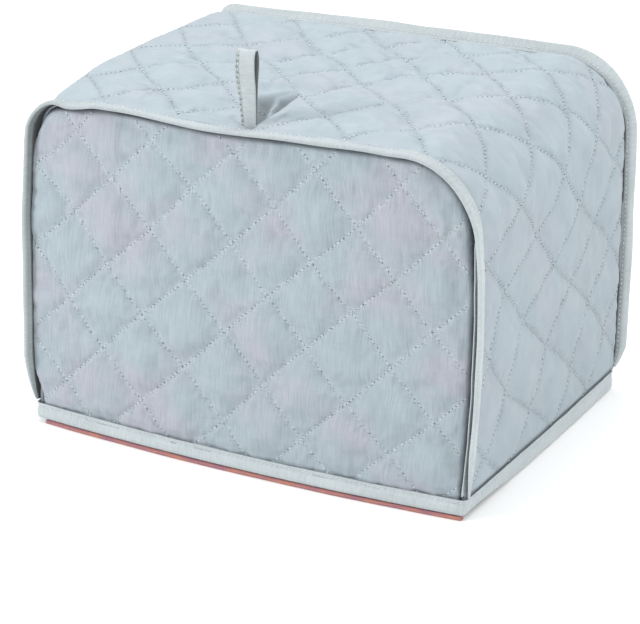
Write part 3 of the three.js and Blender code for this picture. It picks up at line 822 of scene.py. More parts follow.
def facing_material(name, colours):
    """Rust-rose facing with cooler patches and a fine weave."""
    tree = ShaderTree(name)
    patch = tree.ramp(tree.noise((70, 120, 1), 3.0), 0.4, 0.62)
    base = tree.mix(patch, rgba(colours.facing), rgba(colours.facing_patch))
    weave = tree.noise((900, 900, 1), 2.0)
    base = tree.mix(tree.ramp(weave, 0.4, 0.7, 0.0, 0.35), base, rgba(FACING_GRAIN))
    tree.bump(weave, 0.0004, 0.8)
    return tree.finish(base, 0.9, 0.1)


def thread_material(name, tone, roughness):
    """Twisted thread, or the shaded inside of a needle hole."""
    tree = ShaderTree(name)
    grain = tree.speckle(900.0, 1.0)
    base = tree.mix(tree.ramp(grain, 0.35, 0.65), rgba(tone), rgba(tone, 0.82))
    tree.bump(grain, 0.0001, 0.6)
    return tree.finish(base, roughness, 0.05)


# Stitches made by Geometry Nodes


def stitch_tree():
    """Node tree that lays small rounded stitches along the lines of a mesh."""
    known = bpy.data.node_groups.get("stitch_row")
    if known:
        return known
    tree = bpy.data.node_groups.new("stitch_row", "GeometryNodeTree")
    face = tree.interface
    face.new_socket("Lines", in_out="INPUT", socket_type="NodeSocketGeometry")
    inputs = (("Pitch", 0.0032), ("Start", 0.0), ("Length", 0.0022), ("Width", 0.0005), ("Height", 0.0004),
              ("Unevenness", 0.12))
    for title, value in inputs:
        socket = face.new_socket(title, in_out="INPUT", socket_type="NodeSocketFloat")
        socket.default_value = value
    face.new_socket("Finish", in_out="INPUT", socket_type="NodeSocketMaterial")
    face.new_socket("Stitches", in_out="OUTPUT", socket_type="NodeSocketGeometry")

    def add(kind, links=(), values=(), **settings):
        return add_node(tree, kind, links, values, **settings)

    into = add("NodeGroupInput").outputs
    curve = add("GeometryNodeMeshToCurve", [("Mesh", into["Lines"])]).outputs["Curve"]
    spaced = add("GeometryNodeResampleCurve", [("Curve", curve), ("Length", into["Pitch"])], mode="LENGTH")
    tangent = add("GeometryNodeInputTangent").outputs["Tangent"]
    normal = add("GeometryNodeInputNamedAttribute", values=[("Name", "face_normal")],
                 data_type="FLOAT_VECTOR").outputs["Attribute"]
    lengthwise = add("FunctionNodeAlignRotationToVector", [("Vector", tangent)], axis="X")
    upright = add("FunctionNodeAlignRotationToVector",
                  [("Rotation", lengthwise.outputs["Rotation"]), ("Vector", normal)],
                  axis="Z", pivot_axis="X")
    bead = add("GeometryNodeMeshUVSphere", values=[("Segments", 6), ("Rings", 5), ("Radius", 0.5)])
    size = add("ShaderNodeCombineXYZ", [("X", into["Length"]), ("Y", into["Width"]), ("Z", into["Height"])])
    smallest = add("ShaderNodeMath", [(1, into["Unevenness"])], [(0, 1.0)], operation="SUBTRACT")
    vary = add("FunctionNodeRandomValue", [(2, smallest.outputs["Value"])], [("Seed", 7), (3, 1.0)],
               data_type="FLOAT")
    scaled = add("ShaderNodeVectorMath", [(0, size.outputs["Vector"]), ("Scale", vary.outputs[1])],
                 operation="SCALE")
    rows = add("GeometryNodeInstanceOnPoints", [
        ("Points", spaced.outputs["Curve"]), ("Instance", bead.outputs["Mesh"]),
        ("Rotation", upright.outputs["Rotation"]), ("Scale", scaled.outputs["Vector"]),
    ])
    start = add("ShaderNodeCombineXYZ", [("X", into["Start"])]).outputs["Vector"]
    facing = add("GeometryNodeInputInstanceRotation").outputs["Rotation"]
    turned = add("FunctionNodeRotateVector", [("Vector", start), ("Rotation", facing)]).outputs["Vector"]
    moved = add("GeometryNodeTranslateInstances",
                [("Instances", rows.outputs["Instances"]), ("Translation", turned)],
                [("Local Space", False)])
    real = add("GeometryNodeRealizeInstances", [("Geometry", moved.outputs["Instances"])])
    finish = add("GeometryNodeSetMaterial",
                 [("Geometry", real.outputs["Geometry"]), ("Material", into["Finish"])])
    add("NodeGroupOutput", [("Stitches", finish.outputs["Geometry"])])
    return tree


def stitch_rows(name, lines, material, slot, **sizes):
    """One piece of stitches along lines, each a pair of points and surface normals in millimetres."""
    points, normals, edges = [], [], []
    for path, ups in lines:
        start = len(points)
        points.extend((np.asarray(path) * MM).tolist())
        normals.extend(np.asarray(ups).tolist())
        edges.extend([start + k, start + k + 1] for k in range(len(path) - 1))
    guide = bpy.data.meshes.new(name)
    guide.from_pydata(points, edges, [])
    attribute = guide.attributes.new("face_normal", "FLOAT_VECTOR", "POINT")
    attribute.data.foreach_set("vector", np.array(normals, np.float32).ravel())
    piece = put(name, guide)
    modifier = piece.modifiers.new("stitches", "NODES")
    modifier.node_group = stitch_tree()
    values = {key.replace("_", " ").capitalize(): value for key, value in sizes.items()}
    values["Finish"] = material
    for item in modifier.node_group.interface.items_tree:
        if item.in_out == "INPUT" and item.name in values:
            modifier[item.identifier] = values[item.name]
    solid = bpy.data.meshes.new_from_object(piece.evaluated_get(bpy.context.evaluated_depsgraph_get()))
    piece.modifiers.remove(modifier)
    piece.data = solid
    solid.name = name
    solid.polygons.foreach_set("use_smooth", [True] * len(solid.polygons))
    if not solid.polygons:
        raise RuntimeError(f"{name} has no stitches")
    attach(piece, "root")


# Paths of the stitches, from the operators that make the pieces to the one that sews them
stitch_paths = {}


def on_surface(points, normals, lift):
    """Path lifted off its surface along the normals."""
    return points + normals * lift, normals


def pucker(x, y):
    """Hollow in the top cloth beside the loop, with a steep fold at its right.

    Gives its height, its painted shade (lighter along the crease) and how far the quilting flattens there.
    """
    corners = np.array(PUCKER_HOLLOW, float)
    inside = []
    for a, b in zip(corners, np.roll(corners, -1, axis=0)):
        run = (b - a) / np.hypot(*(b - a))
        inside.append((x - a[0]) * -run[1] + (y - a[1]) * run[0])
    steep = np.minimum(inside[0], inside[1])
    slow = np.minimum(np.minimum(inside[2], inside[3]), inside[4])
    depth = smooth(slow / 9) * (1 - np.exp(-np.maximum(steep, 0) / 1.8))
    calm = smooth((steep + 11) / 8) * smooth((slow + 9) / 8)
    ridge = bell(steep + 2.6, 3.0) * smooth((slow + 4) / 14)
    away = np.full(np.shape(x), 99.0)
    points = np.array(PUCKER_CREASE, float)
    for a, b in zip(points[:-1], points[1:]):
        run = b - a
        along = np.clip(((x - a[0]) * run[0] + (y - a[1]) * run[1]) / (run @ run), 0, 1)
        away = np.minimum(away, np.hypot(x - a[0] - along * run[0], y - a[1] - along * run[1]))
    crease = bell(away, 1.7) * smooth(slow / 4) * smooth(steep / 2)
    # Painted shade over the hollow, lighter along the crease.
    shade = smooth((slow + 1.0) / 7.0) * smooth(steep + 0.8)
    return ridge - 6.4 * depth + 2.0 * crease, 0.52 * shade * (1 - 0.8 * crease), calm


def gusset_wrinkles(s, y, edge):
    """Soft drag wrinkles: across the top, down the side and at the shoulders."""
    top = 1 - smooth((np.abs(s) - 85) / 50)
    side = smooth((s - 130) / 40)
    left = smooth((-s - 120) / 40)
    flow = y + 0.16 * s
    height = 0.95 * top * soft_noise(s / 46, flow / 10, 31)
    height += 0.50 * top * soft_noise(s / 25, flow / 5.2, 32)
    height += 0.60 * (side + left) * soft_noise((s + 0.35 * y) / 13, (y - 0.5 * s) / 42, 33)
    height += 0.25 * (side + left) * soft_noise((s + 0.35 * y) / 6, (y - 0.5 * s) / 20, 34)
    shoulder = bell(s - 135, 26)
    height += 0.55 * shoulder * soft_noise(s / 30, y / 7, 35)
    crease = bell(soft_noise(s / 52, flow / 13, 37), 0.10)
    crease *= 0.5 + 0.5 * soft_noise(s / 30, y / 20, 38)
    height -= 0.85 * top * crease
    fold = bell(soft_noise((s - 20) / 60, (y - 0.45 * s) / 26, 39), 0.12)
    height -= 0.7 * side * fold * (0.5 + 0.5 * soft_noise(s / 24, y / 24, 40))
    seam = np.exp(-edge / 9.0)
    height += 0.8 * seam * smooth(edge / 3) * soft_noise(s / 9, edge / 16 + 3, 36)
    return height


def panel_wrinkles(x, z, edge, seed):
    """Soft unevenness of an end panel with small pleats along its seam."""
    height = 0.5 * soft_noise(x / 38, z / 30, seed) + 0.25 * soft_noise(x / 12, z / 17, seed + 1)
    height += 0.7 * np.exp(-edge / 8.0) * smooth(edge / 3) * soft_noise((x + z) / 9, (x - z) / 22, seed + 2)
    return height


# Operators


def settings(context):
    """The settled shape and the colours that the operators work with."""
    return CoverShape(context.scene.cover_sizes), context.scene.cover_colours


def quilting_of(cut, outer):
    """Stitch lines of a sewn cloth with the normals of its face."""
    normals = surface_normals(outer, cut.faces)
    return [on_surface(outer[line], normals[line], STITCH_LIFT) for line in cut.lines]


def end_panel(shape, colours, name, node, side, seed):
    """Quilted end panel whose border turns towards the seam and runs down into the hem fold."""
    y_seam = side * shape.half_depth
    inset = shape.front_inset if side < 0 else shape.back_inset
    ahead = shape.front_ahead if side < 0 else -shape.back_recess
    rim = 0.7 if side < 0 else -0.4
    crossings = [(side * -c, r, side * -x, z) for c, r, x, z in PANEL_CROSSINGS]

    def fills(x, z):
        """How far the front panel fills out over its left and right seams, below the shoulders."""
        left = (side < 0) * smooth((-x - 100) / 25) * (1 - smooth((z - 165) / 48)) * smooth((z - 8) / 30)
        right = (side < 0) * (x > 0) * (1 - smooth((z - 125) / 40))
        return left, right

    def outline(flat):
        x, z = flat[:, 0], flat[:, 1]
        left, right = fills(x, z)
        rim_in = inset - shape.left_fill * left - shape.right_fill * right
        radius = shape.radius(x, y_seam)
        if side < 0:
            radius = np.where(x < 0, shape.panel_corner, radius)
        corner_x = np.abs(x) - (shape.half_width - radius)
        corner_z = z - (shape.height - radius)
        reach = np.hypot(corner_x, corner_z)
        rounded = (corner_x > 0) & (corner_z > 0)
        straight = np.minimum(shape.half_width - np.abs(x), shape.height - z)
        inside = np.where(rounded, radius - reach, straight) - rim_in
        limit = shape.half_width - rim_in
        top = shape.height - rim_in
        snap = (radius - rim_in) / np.maximum(reach, 1e-6)
        round_x = shape.half_width - radius + corner_x * snap
        round_z = shape.height - radius + corner_z * snap
        edge_x = np.where(rounded, round_x, np.minimum(np.abs(x), limit))
        edge_z = np.where(rounded, round_z, np.minimum(z, top))
        side_near = ~rounded & (shape.half_width - np.abs(x) < shape.height - z)
        top_near = ~rounded & ~side_near
        edge_x = np.where(side_near & (z - CLOTH_FOOT > inside), limit, edge_x)
        edge_z = np.where(top_near & (z - CLOTH_FOOT > inside), top, edge_z)
        edge_z = np.where(z - CLOTH_FOOT < inside, CLOTH_FOOT, np.maximum(edge_z, CLOTH_FOOT))
        return np.minimum(inside, z - CLOTH_FOOT), np.stack([np.sign(x) * edge_x, edge_z], axis=1)

    def place(flat, rise, edge):
        x, z = flat[:, 0], flat[:, 1]
        left, right = fills(x, z)
        above = smooth((z - shape.hem_height - 2) / 5)
        round_over = 3.6 - 0.6 * left - 1.2 * right
        turn = (rim - ahead) * (1 - np.clip(edge / round_over, 0, 1)) ** 2 * above
        thin = np.where(rise < 0, 0.9 * (1 - above), -0.4 * (1 - above))
        tuck = 2.5 * (1 - smooth(edge / 2.5)) - 2.2 * smooth(edge / 3) * (1 - smooth((edge - 3) / 18))
        x = x + tuck * left * smooth((-x - 95) / 25)
        return shape.settle(x, side * (shape.half_depth + ahead + rise + turn + thin), z)

    limit = shape.half_width
    corners = [(-limit, 0), (limit, 0), (limit, shape.height), (-limit, shape.height)]
    cut = CutCloth(Quilt(crossings), corners, outline)
    rise = cut.crowns(shape.quilt_rise, seed)
    padded, draped = PANEL_SHARES
    rise = padded * rise + draped * draped_heights(cut, corners, outline, place, seed + 30)
    rise += panel_wrinkles(cut.flat[:, 0], cut.flat[:, 1], cut.edge, seed + 10)
    rise *= smooth((cut.flat[:, 1] - shape.hem_height + 4) / 6)
    if side > 0:
        cut.faces = cut.faces[:, ::-1]
    # Painted shade: a dark line in the gap along the panel's seams and a dark line just above the hem.
    shade = 0.95 * bell(cut.edge, 1.5)
    shade += 0.45 * bell(cut.flat[:, 1] - shape.hem_height - 0.3, 0.9)
    cloth, outer = sewn_cloth(name, cut, place, rise, shape.cloth, shade)
    # The stitch lines of the end panels get a painted highlight.
    material = quilted_cloth_material(name, colours, (1050, 60, 1), (90, 700, 1), 0.45,
                                      tuple(colours.stitch_painted_highlight), 0.95)
    dress(cloth, [node], material)
    stitch_paths[node] = quilting_of(cut, outer)


class COVER_OT_front_panel(bpy.types.Operator):
    """Quilted front panel"""

    bl_idname = "cover.front_panel"
    bl_label = "Front Panel"
    bl_options = {"REGISTER", "UNDO"}

    def execute(self, context):
        shape, colours = settings(context)
        end_panel(shape, colours, "front_panel_cloth", "front_panel", -1, 40)
        return {"FINISHED"}


class COVER_OT_back_panel(bpy.types.Operator):
    """Quilted back panel"""

    bl_idname = "cover.back_panel"
    bl_label = "Back Panel"
    bl_options = {"REGISTER", "UNDO"}

    def execute(self, context):
        shape, colours = settings(context)
        end_panel(shape, colours, "back_panel_cloth", "back_panel", 1, 60)
        return {"FINISHED"}


class COVER_OT_gusset(bpy.types.Operator):
    """Quilted band that makes both sides and the top"""

    bl_idname = "cover.gusset"
    bl_label = "Gusset"
    bl_options = {"REGISTER", "UNDO"}

    def execute(self, context):
        shape, colours = settings(context)
        low, high = -shape.left_length + CLOTH_FOOT, shape.right_length - CLOTH_FOOT
        far = shape.half_depth + SEAM_HIDDEN

        def outline(flat):
            s, y = flat[:, 0], flat[:, 1]
            inside = np.minimum(np.minimum(s - low, high - s), far - np.abs(y))
            near_end = np.minimum(s - low, high - s) < far - np.abs(y)
            ends = np.where(s < 0, low, high)
            edge_s = np.where(near_end, ends, np.clip(s, low, high))
            edge_y = np.where(near_end, np.clip(y, -far, far), np.sign(y) * far)
            return inside, np.stack([edge_s, edge_y], axis=1)

        def place(flat, rise, edge):
            s, y = flat[:, 0], flat[:, 1]
            allowance = smooth((np.abs(y) - shape.half_depth + 2) / 2)
            _, z0 = shape.arch(s, y, 0.0)
            low_down = 1 - smooth((z0 - shape.hem_height) / 5)
            thin = np.maximum(allowance, low_down)
            rho = rise + np.where(rise < -1, 0.7 * thin, -0.7 * thin)
            x, z = shape.arch(s, y, rho)
            tucked = 1 - smooth((z0 - shape.hem_height + 2) / 2)
            return shape.settle(x, y * np.where(y > 0, 1 - 0.045 * tucked, 1), z)

        corners = [(low, -far), (high, -far), (high, far), (low, far)]
        cut = CutCloth(Quilt(GUSSET_CROSSINGS), corners, outline)
        s, y = cut.flat[:, 0], cut.flat[:, 1]
        rise = cut.crowns(shape.quilt_rise * 1.1, 80)
        padded, draped = GUSSET_SHARES
        rise = padded * rise + draped * draped_heights(cut, corners, outline, place, 90)
        edge = np.maximum(cut.edge - SEAM_HIDDEN, 0)
        shoulder = bell(s + 128, 20)
        rise += shoulder * 0.7 * (3.0 * smooth(edge / 14) - rise)
        rise *= 1 - 0.30 * smooth((s - 130) / 40)
        rise += gusset_wrinkles(s, y, edge) * smooth(edge / 4)
        # The pucker gives painted shade in its hollow.
        fold, shade, calm = pucker(s, y)
        rise = rise * (1 - 0.85 * calm) + fold * smooth((shape.half_depth - np.abs(y)) / 1.5)
        height = shape.arch(s, y, 0.0)[1]
        rise *= smooth((height - shape.hem_height + 0.5) / 6)
        # Painted shade: a dark line just above the hem, and the gusset's hidden edge at the left front seam
        # darkened where it shows in the gap.
        shade = shade + 0.6 * bell(height - shape.hem_height - 0.3, 0.9)
        at_left = (y < 0) * smooth((-s - 112) / 12)
        shade = np.maximum(shade, 0.9 * at_left * smooth((SEAM_HIDDEN + 0.6 - cut.edge) / 0.8))
        cloth, outer = sewn_cloth("gusset_cloth", cut, place, rise, shape.cloth, shade)
        # The stitch lines of the gusset get painted shade.
        material = quilted_cloth_material("gusset_cloth", colours, (60, 900, 1), (700, 90, 1), 0.14,
                                          tuple(colours.cloth_dark_tone_and_painted_shade), 0.35)
        dress(cloth, ["gusset"], material)
        stitch_paths["gusset"] = quilting_of(cut, outer)
        return {"FINISHED"}


def fold_path(reach, half, count=9):
    """U-shaped fold as pairs of distance towards the fold and distance across it."""
    leg = np.linspace(0.0, 1.0, count, endpoint=False)
    turn = np.linspace(math.pi / 2, -math.pi / 2, 9)
    straight = reach - half
    first = [(straight * t, half) for t in leg]
    arc = [(straight + half * math.cos(t), half * math.sin(t)) for t in turn]
    return np.array(first + arc + [(x, -y) for x, y in reversed(first)])


def seam_binding(shape, colours, name, node, side, seam, seed):
    """Folded tape that stands off the seam between an end panel and the gusset."""
    edge_y = side * shape.half_depth
    low = -shape.left_length + shape.hem_height + 0.7
    high = shape.right_length - shape.hem_height - 0.7
    s = np.arange(low, high, 2.0)
    s = np.append(s, high)
    lean, foot_out, bow = (from_table(s, seam, column) for column in (1, 2, 3))
    lean = np.radians(lean + 4 * soft_noise(s / 34, 0.5, seed))
    foot_run = 30.0 if side < 0 else 15.0
    taper = np.clip((shape.arch(s, edge_y, 0.0)[1] - 10.8) / foot_run, 0.02, 1) ** 0.55
    reach = shape.binding_reach * taper * (1 + 0.05 * soft_noise(s / 22, 1.5, seed))
    half = shape.binding_thick / 2 * np.clip(taper, 0.45, 1) * (1 + 0.08 * soft_noise(s / 13, 2.5, seed))

    def skin(inset):
        grid = []
        for r, h, turn, at, foot, bend_out in zip(reach, half, lean, s, foot_out, bow):
            path = fold_path(r - inset, h - inset)
            share = path[:, 0] / r
            across = path[:, 1] * (1 - 0.25 * bell(share - 0.22, 0.08))
            bend = turn * np.minimum(1, 2 * share)
            out = foot + path[:, 0] * math.sin(turn) + across * np.cos(bend)
            out += bend_out * np.sin(math.pi * np.clip(share, 0, 1) * 0.6)
            ahead = 0.2 + path[:, 0] * math.cos(turn) - across * np.sin(bend)
            out += 0.45 * share * soft_noise(np.full(len(path), at / 24), share, seed + 1)
            x, z = shape.arch(at, edge_y, out)
            grid.append(shape.settle(x, edge_y + side * np.maximum(0.2, ahead), z))
        return np.array(grid)

    outer, inner = skin(0.0), skin(shape.tape)
    around = np.linspace(0, 24, outer.shape[1])
    column = np.arange(outer.shape[1])
    # Painted shade on the binding tape from the tables above: its inner side, a dark line at its foot and
    # the whole tape.
    near_seam = fold_path(1.0, 0.12)[:, 0]
    inward = smooth((column - outer.shape[1] * 0.56) / 3.0)
    if side < 0:
        plain = from_table(s, FRONT_PLAIN_SHADE)[:, None]
        shade = np.maximum(np.outer(from_table(s, FRONT_INNER_SHADE), inward), plain)
        wide = from_table(s, FRONT_LINE_WIDTH)[:, None]
        shade = np.maximum(shade, 0.95 * smooth((wide - near_seam) / 0.16) * (column > 13))
    else:
        broken = smooth((soft_noise(s / 11, 0.5, seed + 2) + 0.5) / 0.5)
        deep = from_table(s, BACK_INNER_SHADE)
        shade = np.outer(deep, smooth((0.75 - near_seam) / 0.5) * (column < 13))
        line = from_table(s, BACK_LINE_SHADE) * broken
        shade = np.maximum(shade, np.outer(line, smooth((0.22 - near_seam) / 0.1) * (column < 13)))
        shade = np.maximum(shade, from_table(s, BACK_PLAIN_SHADE)[:, None])
    tape = swept_tape(name, outer, inner, s, around, closed=False, shade=(shade, shade))
    dress(tape, [node], tape_material(name, colours, TAPE_BIAS))
    rows = []
    for at, sign in ((3, 1), (outer.shape[1] - 4, -1)):
        path = outer[:, at]
        across = outer[:, at + 1] - outer[:, at - 1]
        up = unit(np.cross(np.gradient(path, axis=0), across))
        if np.sum((path - outer.mean(axis=1)) * up) < 0:
            up = -up
        seen = s > (-120 if side < 0 and sign < 0 else -400)
        rows.append(on_surface(path[seen], up[seen], STITCH_LIFT))
    stitch_paths[node] = rows


def seam_allowance(shape, colours):
    """Raw edge of the seam that shows between the front panel and the binding at the right."""
    edge_y = -shape.half_depth
    s = np.arange(158.0, shape.right_length - shape.hem_height - 1.5, 1.5)
    wave = 0.35 * soft_noise(s / 14, 0.5, 151)
    tall = 4.0 * smooth((s - 156) / 14) + 0.8 + 0.5 * soft_noise(s / 9, 1.5, 151)

    def skin(inset):
        grid = []
        for at, w, high in zip(s, wave, tall):
            path = fold_path(high - inset, 0.42 - inset, 4)
            x, z = shape.arch(at, edge_y, -1.2 + w + path[:, 1])
            grid.append(shape.settle(x, edge_y - 0.5 - path[:, 0], z))
        return np.array(grid)

    outer, inner = skin(0.0), skin(0.3)
    around = np.linspace(0, 9, outer.shape[1])
    strip = swept_tape("front_seam_allowance", outer, inner, s, around, closed=False)
    dress(strip, [], tape_material("front_seam_allowance", colours, TAPE_BIAS))


class COVER_OT_seam_bindings(bpy.types.Operator):
    """Bindings of the front and back seams"""

    bl_idname = "cover.seam_bindings"
    bl_label = "Seam Bindings"
    bl_options = {"REGISTER", "UNDO"}

    def execute(self, context):
        shape, colours = settings(context)
        seam_binding(shape, colours, "front_binding_tape", "front_binding", -1, FRONT_SEAM, 100)
        seam_binding(shape, colours, "back_binding_tape", "back_binding", 1, BACK_SEAM, 110)
        seam_allowance(shape, colours)
        return {"FINISHED"}


def foot_ring(shape, step):
    """Points round the foot of the cover with their outward directions."""
    half_x = shape.half_width + 1.0
    back_y = shape.half_depth
    front_y = shape.half_depth + shape.hem_ahead
    ring = []
    turns = np.radians(np.linspace(0, 90, 8))
    corners = (
        (half_x, -front_y, HEM_CORNER_FRONT, 270),
        (half_x, back_y, HEM_CORNER_BACK, 0),
        (-half_x, back_y, HEM_CORNER_BACK, 90),
        (-half_x, -front_y, HEM_CORNER_FRONT, 180),
    )
    corners = [(x - np.sign(x) * r, y - np.sign(y) * r, r, start) for x, y, r, start in corners]
    for number, (cx, cy, radius, start) in enumerate(corners):
        for turn in turns:
            angle = math.radians(start) + turn
            nx, ny = math.cos(angle), math.sin(angle)
            ring.append((cx + radius * nx, cy + radius * ny, nx, ny))
        nx, ny = ((1, 0), (0, 1), (-1, 0), (0, -1))[number]
        ex, ey, far_radius = corners[(number + 1) % 4][:3]
        begin = np.array([cx + radius * nx, cy + radius * ny])
        end = np.array([ex + far_radius * nx, ey + far_radius * ny])
        count = int(np.hypot(*(end - begin)) / step)
        for k in range(1, count):
            here = begin + (end - begin) * k / count
            ring.append((here[0], here[1], nx, ny))
    return np.array(ring)


class COVER_OT_hem(bpy.types.Operator):
    """Folded tape round the foot of the cover"""

    bl_idname = "cover.hem"
    bl_label = "Hem"
    bl_options = {"REGISTER", "UNDO"}

    def execute(self, context):
        shape, colours = settings(context)
        ring = foot_ring(shape, HEM_STEP)
        steps = np.hypot(*(np.roll(ring[:, :2], -1, axis=0) - ring[:, :2]).T)
        along = np.concatenate([[0], np.cumsum(steps)[:-1]])
        lift = shape.front_lift * smooth((-ring[:, 1] - 30) / 55)
        wave = soft_noise(along / 17, 0.5, 121)
        fine = soft_noise(along / 5, 0.5, 122)
        top = shape.hem_height - 0.15 + 0.35 * wave

        def skin(inset):
            grid = []
            half = shape.hem_thick / 2 - inset
            for (x, y, nx, ny), foot, high, w, f in zip(ring, lift, top, wave, fine):
                tall = high - foot - inset
                path = fold_path(tall, half, 8)
                share = path[:, 0] / tall
                z = high - path[:, 0]
                squash = np.clip(1 - 0.28 * bell(share - 0.24, 0.12), 0.6, 1)
                belly = 1 + 0.06 * f
                inward = shape.hem_thick / 2 - path[:, 1] * squash * belly - 0.12 * w
                z = np.maximum(z, foot + inset)
                grid.append(shape.settle(x - nx * inward, y - ny * inward, z))
            return np.array(grid)

        outer, inner = skin(0.0), skin(shape.tape)
        around = np.linspace(0, 24, outer.shape[1])
        tape = swept_tape("hem_tape", outer, inner, along, around, closed=True)
        dress(tape, ["hem_binding"], tape_material("hem_tape", colours, TAPE_BIAS))
        path = np.vstack([outer[:, 2], outer[:1, 2]])
        out = np.column_stack([ring[:, 2], ring[:, 3], np.zeros(len(ring))])
        out = np.vstack([out, out[:1]])
        stitch_paths["hem_binding"] = [on_surface(path, out, STITCH_LIFT)]
        return {"FINISHED"}


class COVER_OT_facing(bpy.types.Operator):
    """Folded edge of the facing that shows below the front hem"""

    bl_idname = "cover.facing"
    bl_label = "Facing Edge"
    bl_options = {"REGISTER", "UNDO"}

    def execute(self, context):
        shape, colours = settings(context)
        x = np.linspace(*FACING_ENDS, 116)
        near = -(shape.half_depth + shape.hem_ahead) + 0.6
        edge = 0.3 * soft_noise(x / 14, 0.5, 131)

        def skin(inset):
            grid = []
            half = shape.facing_height / 2 - inset
            for at, wave in zip(x, edge):
                path = fold_path(shape.facing_depth - inset, half, 5)
                y = near + shape.facing_depth - path[:, 0] + wave
                z = shape.facing_height / 2 + path[:, 1]
                grid.append(shape.settle(np.full(len(path), at), y, np.maximum(z, 0.0)))
            return np.array(grid)

        outer, inner = skin(0.0), skin(0.55)
        around = np.linspace(0, 10, outer.shape[1])
        strip = swept_tape("facing_cloth", outer, inner, x, around, closed=False)
        dress(strip, ["facing_edge"], facing_material("facing_cloth", colours))
        return {"FINISHED"}


class COVER_OT_loop(bpy.types.Operator):
    """Hanging loop of ribbon sewn into the front top seam"""

    bl_idname = "cover.loop"
    bl_label = "Hanging Loop"
    bl_options = {"REGISTER", "UNDO"}

    def execute(self, context):
        shape, colours = settings(context)
        heights = np.concatenate([np.linspace(-4, 39.2, 34), [40.6, 41.6]])
        halves = from_table(heights, LOOP_OUTLINE) - shape.loop_ribbon / 2
        front = np.column_stack([-halves, heights])
        tip = [[-halves[-1] * 0.45, LOOP_TIP - 0.75], [halves[-1] * 0.45, LOOP_TIP - 0.75]]
        path = np.vstack([front, tip, (front * [-1, 1])[::-1]])
        along = np.concatenate([[0], np.cumsum(np.hypot(*np.diff(path, axis=0).T))])
        tangent = unit(np.gradient(path, axis=0))
        side = np.column_stack([-tangent[:, 1], tangent[:, 0]])
        across = np.linspace(-1, 1, 13)
        foot_z = shape.height + LOOP_FOOT
        middle_y = -shape.half_depth + 2.8

        def skin(sign):
            grid = []
            for (a, h), (na, nh), at in zip(path, side, along):
                high = np.clip(h / 28, 0, 1)
                width = shape.loop_width * (0.80 + 0.22 * smooth(high))
                rounding = np.sqrt(np.maximum(0.1, 1 - across ** 4))
                edge = 1 + 0.35 * bell(np.abs(across) - 0.86, 0.1)
                off = sign * shape.loop_ribbon / 2 * rounding * edge
                curl = 0.5 * across ** 2 * np.sign(a) * high
                x = -0.6 - 1.4 * smooth(high) + across * width / 2
                y = middle_y + a + off * na + curl
                z = foot_z + h + off * nh
                ripple = 0.15 * soft_noise(np.full(len(across), at / 6), across * 1.5, 141)
                grid.append(shape.settle(x, y + ripple, z))
            return np.array(grid)

        outer, inner = skin(1.0), skin(-1.0)
        # Shade attribute of the loop: the whole outer face a little darker, painted shade along the left
        # edge of its front leg, and deep painted shade over its inner face.
        stripe = 0.10 + np.outer(np.arange(len(path)) < len(front), 0.20 * (across < -0.6))
        inside = np.full(stripe.shape, 0.75)
        ribbon = swept_tape("loop_tape", outer, inner, along, across * shape.loop_width / 2, closed=False,
                            shade=(stripe, inside))
        dress(ribbon, ["hanging_loop"], tape_material("loop_tape", colours, 0.0))
        count = len(front)
        rows = []
        for column in (2, 1):
            edge_path = outer[3:count - 3, column]
            ups = np.tile([0.0, -1.0, 0.0], (len(edge_path), 1))
            rows.append(on_surface(edge_path, ups, LOOP_STITCH_LIFT))
        stitch_paths["hanging_loop"] = rows
        return {"FINISHED"}


class COVER_OT_stitching(bpy.types.Operator):
    """Quilting, binding, hem and loop stitches with their needle holes"""

    bl_idname = "cover.stitching"
    bl_label = "Stitching"
    bl_options = {"REGISTER", "UNDO"}

    def execute(self, context):
        shape, colours = settings(context)
        thread = thread_material("sewing_thread", tuple(colours.thread), 0.7)
        # Needle holes are small dark beads on the cloth, painted shade for the insides of the holes.
        hole = thread_material("needle_hole", tuple(colours.needle_hole), 0.95)
        pitch = shape.stitch_pitch * MM
        thick = shape.thread * MM

        def lay(name, lines, finish, slot, shares, unevenness):
            start, length, width, height = shares
            stitch_rows(name, lines, finish, slot, pitch=pitch, start=pitch * start, length=pitch * length,
                        width=thick * width, height=thick * height, unevenness=unevenness)

        groups = (
            ("front_quilting", "front_panel", "quilted_cloth", True),
            ("back_quilting", "back_panel", "quilted_cloth", True),
            ("gusset_quilting", "gusset", "quilted_cloth", True),
            ("front_binding", "front_binding", "binding_tape", False),
            ("back_binding", "back_binding", "binding_tape", False),
            ("hem", "hem_binding", "binding_tape", False),
            ("loop", "hanging_loop", "loop_ribbon", True),
        )
        for title, node, slot, pierced in groups:
            lines = stitch_paths[node]
            lay(f"{title}_stitches", lines, thread, slot, STITCH_SHARES, 0.45)
            if pierced:
                lay(f"{title}_needle_holes", lines, hole, slot, HOLE_SHARES, 0.7)
        return {"FINISHED"}


def area_light(name, place, size, power):
    data = bpy.data.lights.new(name, "AREA")
    data.shape = "RECTANGLE"
    data.size = size
    data.size_y = size
    data.energy = power
    light = put(name, data)
    light.location = place
    light.rotation_euler = (LIGHT_TARGET - Vector(place)).to_track_quat("-Z", "Y").to_euler()


